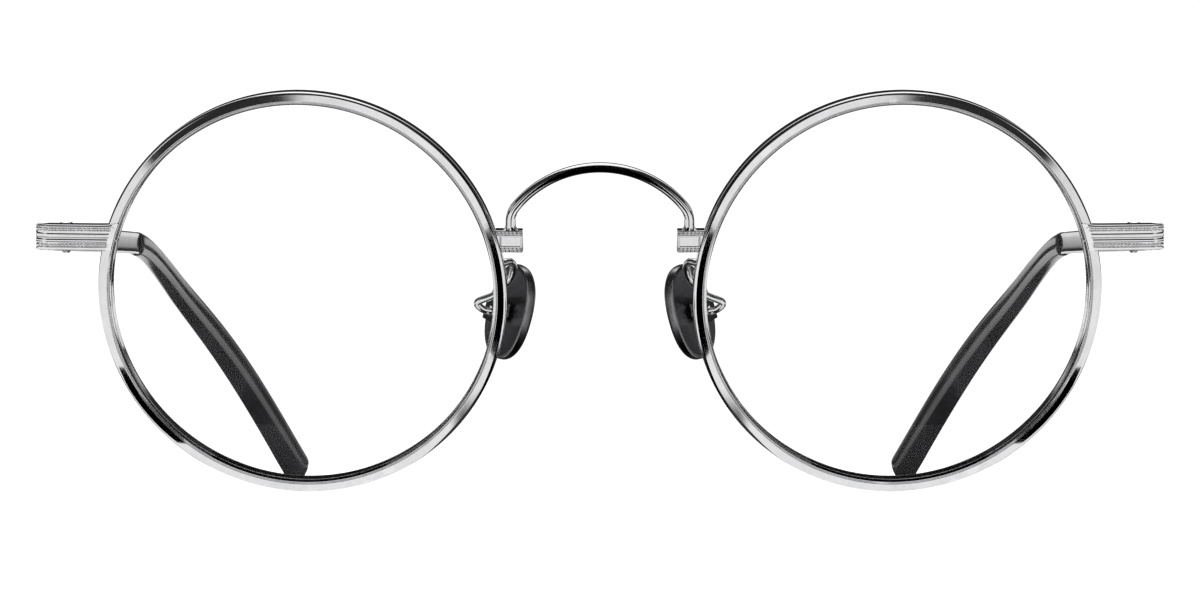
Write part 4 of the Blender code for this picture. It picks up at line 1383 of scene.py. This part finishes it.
@dataclass
class Studio:
    """White floor, a soft lamp, light and dark panels for the metal to mirror, and the camera."""

    layout: Layout
    distance: float = 378.0 * MM
    look_up: float = radians(2.75)
    view_scale: float = 8.534 / MM     # how large the front is drawn
    frame_width: float = 1200.0
    aim_drop: float = 0.52 * MM        # the view's middle lies this far below the lens centres
    ambient: float = 1.15
    mirrored_light: float = 1.1        # how bright the panels are in the metal
    mirrored_dark: float = 0.02
    floor_light: float = 0.95
    floor_dark: float = 0.04
    floor_around: float = 0.9
    middle_cards: tuple[tuple[str, Corner, Corner], ...] = (
        ("dark_middle", (-12, -82, 0.3), (12, -24, 0.3)),
        ("dark_near", (-7, -24, 0.3), (7, 20, 0.3)),
        ("dark_upright", (-9.5, -18, 25), (9.5, -18, 56)))
    side_cards: tuple[tuple[str, Corner, Corner], ...] = (
        ("dark_patch", (52, -12, 0.3), (71, 1.5, 0.3)),
        ("dark_raised", (29, -3, 8), (44, 9, 8)))

    def camera(self) -> None:
        """Camera in front, almost at floor level, looking along the temples."""
        aim = self.layout.stance.translation - Z_AXIS * self.aim_drop
        along = Vector((0, cos(self.look_up), sin(self.look_up)))
        data = bpy.data.cameras.new("camera")
        data.sensor_width = 36.0
        data.lens = self.view_scale * self.distance / self.frame_width * data.sensor_width
        data.clip_start = 5 * MM
        data.clip_end = 50.0
        eye = bpy.data.objects.new("camera", data)
        eye.location = aim - along * self.distance
        eye.rotation_euler = (pi / 2 + self.look_up, 0, 0)
        bpy.context.scene.collection.objects.link(eye)
        bpy.context.scene.camera = eye

    def world(self) -> None:
        """White surroundings, which the metal sees as light panels with dark gaps."""
        world = bpy.data.worlds.new("studio")
        bpy.context.scene.world = world
        world.use_nodes = True
        graph = Graph(world.node_tree)
        way = graph.make("ShaderNodeTexCoord", {}).outputs["Generated"]
        parts = graph.make("ShaderNodeSeparateXYZ", {}, way).outputs
        x, y, z = (Field(graph, part) for part in parts)
        turn = graph.node("ShaderNodeMath", {"operation": "ARCTAN2"}, x.absolute(), -1.0 * y)
        rise = graph.node("ShaderNodeMath", {"operation": "ARCSINE"}, z)
        centre = turn.ramp(radians(6), radians(14), 1.0, 0.0)
        flank = turn.band(radians(34), radians(60), radians(6)) * 0.85
        low = rise.ramp(radians(8), radians(18), 1.0, 0.0)
        ceiling = (rise.ramp(radians(64), radians(70))
                   + rise.ramp(radians(42), radians(56)) * y.ramp(0.15, 0.45))
        rear = turn.band(radians(128), radians(150), radians(6)) * rise.ramp(
            radians(4), radians(12)) * 0.55
        rear += turn.ramp(radians(150), radians(160)) * rise.band(
            radians(3.7), radians(9), radians(0.6)) * 0.7
        panels = (centre + flank) * low + ceiling + rear
        mirrored = panels * self.mirrored_light + self.mirrored_dark
        ray = graph.make("ShaderNodeLightPath", {}).outputs["Is Glossy Ray"]
        gloss = Field(graph, ray)
        strength = gloss * mirrored + (1.0 - gloss) * self.ambient
        back = graph.node("ShaderNodeBackground", {}, (1, 1, 1, 1), strength)
        graph.make("ShaderNodeOutputWorld", {}, Surface=back)

    def floor(self) -> None:
        """White floor, plain to the camera; the metal mirrors it as painted light with dark
        patches.
        """
        shape = bmesh.new()
        bmesh.ops.create_grid(shape, x_segments=1, y_segments=1, size=20.0)
        mesh = bpy.data.meshes.new("floor")
        shape.to_mesh(mesh)
        shape.free()
        made = bpy.data.materials.new("white_floor")
        made.use_nodes = True
        graph = Graph(made.node_tree)
        place = graph.make("ShaderNodeTexCoord", {}).outputs["Object"]
        parts = graph.make("ShaderNodeSeparateXYZ", {}, place).outputs
        x, y = Field(graph, parts[0]), Field(graph, parts[1])
        front = self.layout.stance.translation.y
        gloss = Field(graph, graph.make("ShaderNodeLightPath", {}).outputs["Is Glossy Ray"])
        beside = x.absolute().ramp(14 * MM, 20 * MM)
        mirrored = (y - beside * 20 * MM).ramp(
            front - 12 * MM, front - 4 * MM, self.floor_light, self.floor_dark)
        around = 1 - x.absolute().ramp(88 * MM, 98 * MM, 1.0, 0.0) * y.ramp(
            front + 160 * MM, front + 180 * MM, 1.0, 0.0)
        mirrored = mirrored + (self.floor_around - mirrored) * around
        turn = graph.node("ShaderNodeMath", {"operation": "ARCTAN2"}, x.absolute(), front - y)
        gap = turn.band(radians(14.5), radians(42), radians(2)) * y.ramp(
            front - 140 * MM, front - 110 * MM, 1.0, 0.0)
        mirrored = mirrored * (1 - gap * 0.97)
        bare = graph.node("ShaderNodeBsdfDiffuse", {}, (0.92, 0.92, 0.92, 1.0))
        # painted reflection: the floor glows light and dark only for the metal's reflections
        seen = graph.node("ShaderNodeEmission", {}, (1, 1, 1, 1), mirrored)
        shader = graph.node("ShaderNodeMixShader", {}, gloss, bare, seen)
        graph.make("ShaderNodeOutputMaterial", {}, Surface=shader)
        mesh.materials.append(made)
        floor = bpy.data.objects.new("floor", mesh)
        bpy.context.scene.collection.objects.link(floor)

    def dark_card(self, name: str, near: Corner, far: Corner) -> None:
        """Black card, lying or upright, that only the metal's reflections see.

        Args:
            name: the card's name.
            near: one corner's (x, y, z) in mm, y from the front of the glasses.
            far: the opposite corner; a card with one y stands upright.
        """
        front = self.layout.stance.translation.y
        (x0, y0, z0), (x1, y1, z1) = near, far
        corners = [(x0, y0, z0), (x1, y0, z0), (x1, y1, z1), (x0, y1, z1)]
        shape = bmesh.new()
        verts = [shape.verts.new((x * MM, front + y * MM, z * MM)) for x, y, z in corners]
        shape.faces.new(verts)
        mesh = bpy.data.meshes.new(name)
        shape.to_mesh(mesh)
        shape.free()
        made = bpy.data.materials.new(name)
        made.use_nodes = True
        graph = Graph(made.node_tree)
        shader = graph.node("ShaderNodeEmission", {}, (0, 0, 0, 1), 0.0)
        graph.make("ShaderNodeOutputMaterial", {}, Surface=shader)
        mesh.materials.append(made)
        card = bpy.data.objects.new(name, mesh)
        card.visible_camera = False
        card.visible_diffuse = False
        card.visible_shadow = False
        card.visible_transmission = False
        bpy.context.scene.collection.objects.link(card)

    def lamp(self, name: str, place: Vector, aim: Vector, size: float, power: float) -> None:
        """Soft square lamp that the metal doesn't mirror.

        Args:
            name: the lamp's name.
            place: where it hangs.
            aim: what it points at.
            size: its side.
            power: its power in watts.
        """
        data = bpy.data.lights.new(name, "AREA")
        data.size = size
        data.energy = power
        lamp = bpy.data.objects.new(name, data)
        lamp.location = place
        lamp.rotation_euler = (aim - place).to_track_quat("-Z", "Y").to_euler()
        lamp.visible_glossy = False
        bpy.context.scene.collection.objects.link(lamp)

    def build(self) -> None:
        """Set the studio up."""
        bpy.context.scene.view_settings.view_transform = "Standard"
        self.camera()
        self.world()
        self.floor()
        for name, near, far in self.middle_cards:
            self.dark_card(name, near, far)
        for side, sign in ((Side.LEFT, 1), (Side.RIGHT, -1)):
            for name, near, far in self.side_cards:
                self.dark_card(f"{name}_{side.value}", (sign * near[0], *near[1:]),
                               (sign * far[0], *far[1:]))
        middle = Vector((0, 0, 20 * MM))
        self.lamp("top_lamp", Vector((0, 0.35, 0.9)), middle, 0.5, 5.0)


def main() -> None:
    """Build the eyeglasses and their studio."""
    logging.basicConfig(level=logging.INFO, format="%(name)s: %(message)s")
    layout = Layout()
    milling = Milling()
    smith = Smith()
    Rims(layout).build(smith)
    BridgeWork(layout, milling).build(smith)
    EndPieces(layout, milling).build(smith)
    Temples(layout, milling).build(smith)
    NosePads(layout).build(smith)
    Hardware().build(smith)
    Studio(layout).build()


if __name__ == "__main__":
    main()
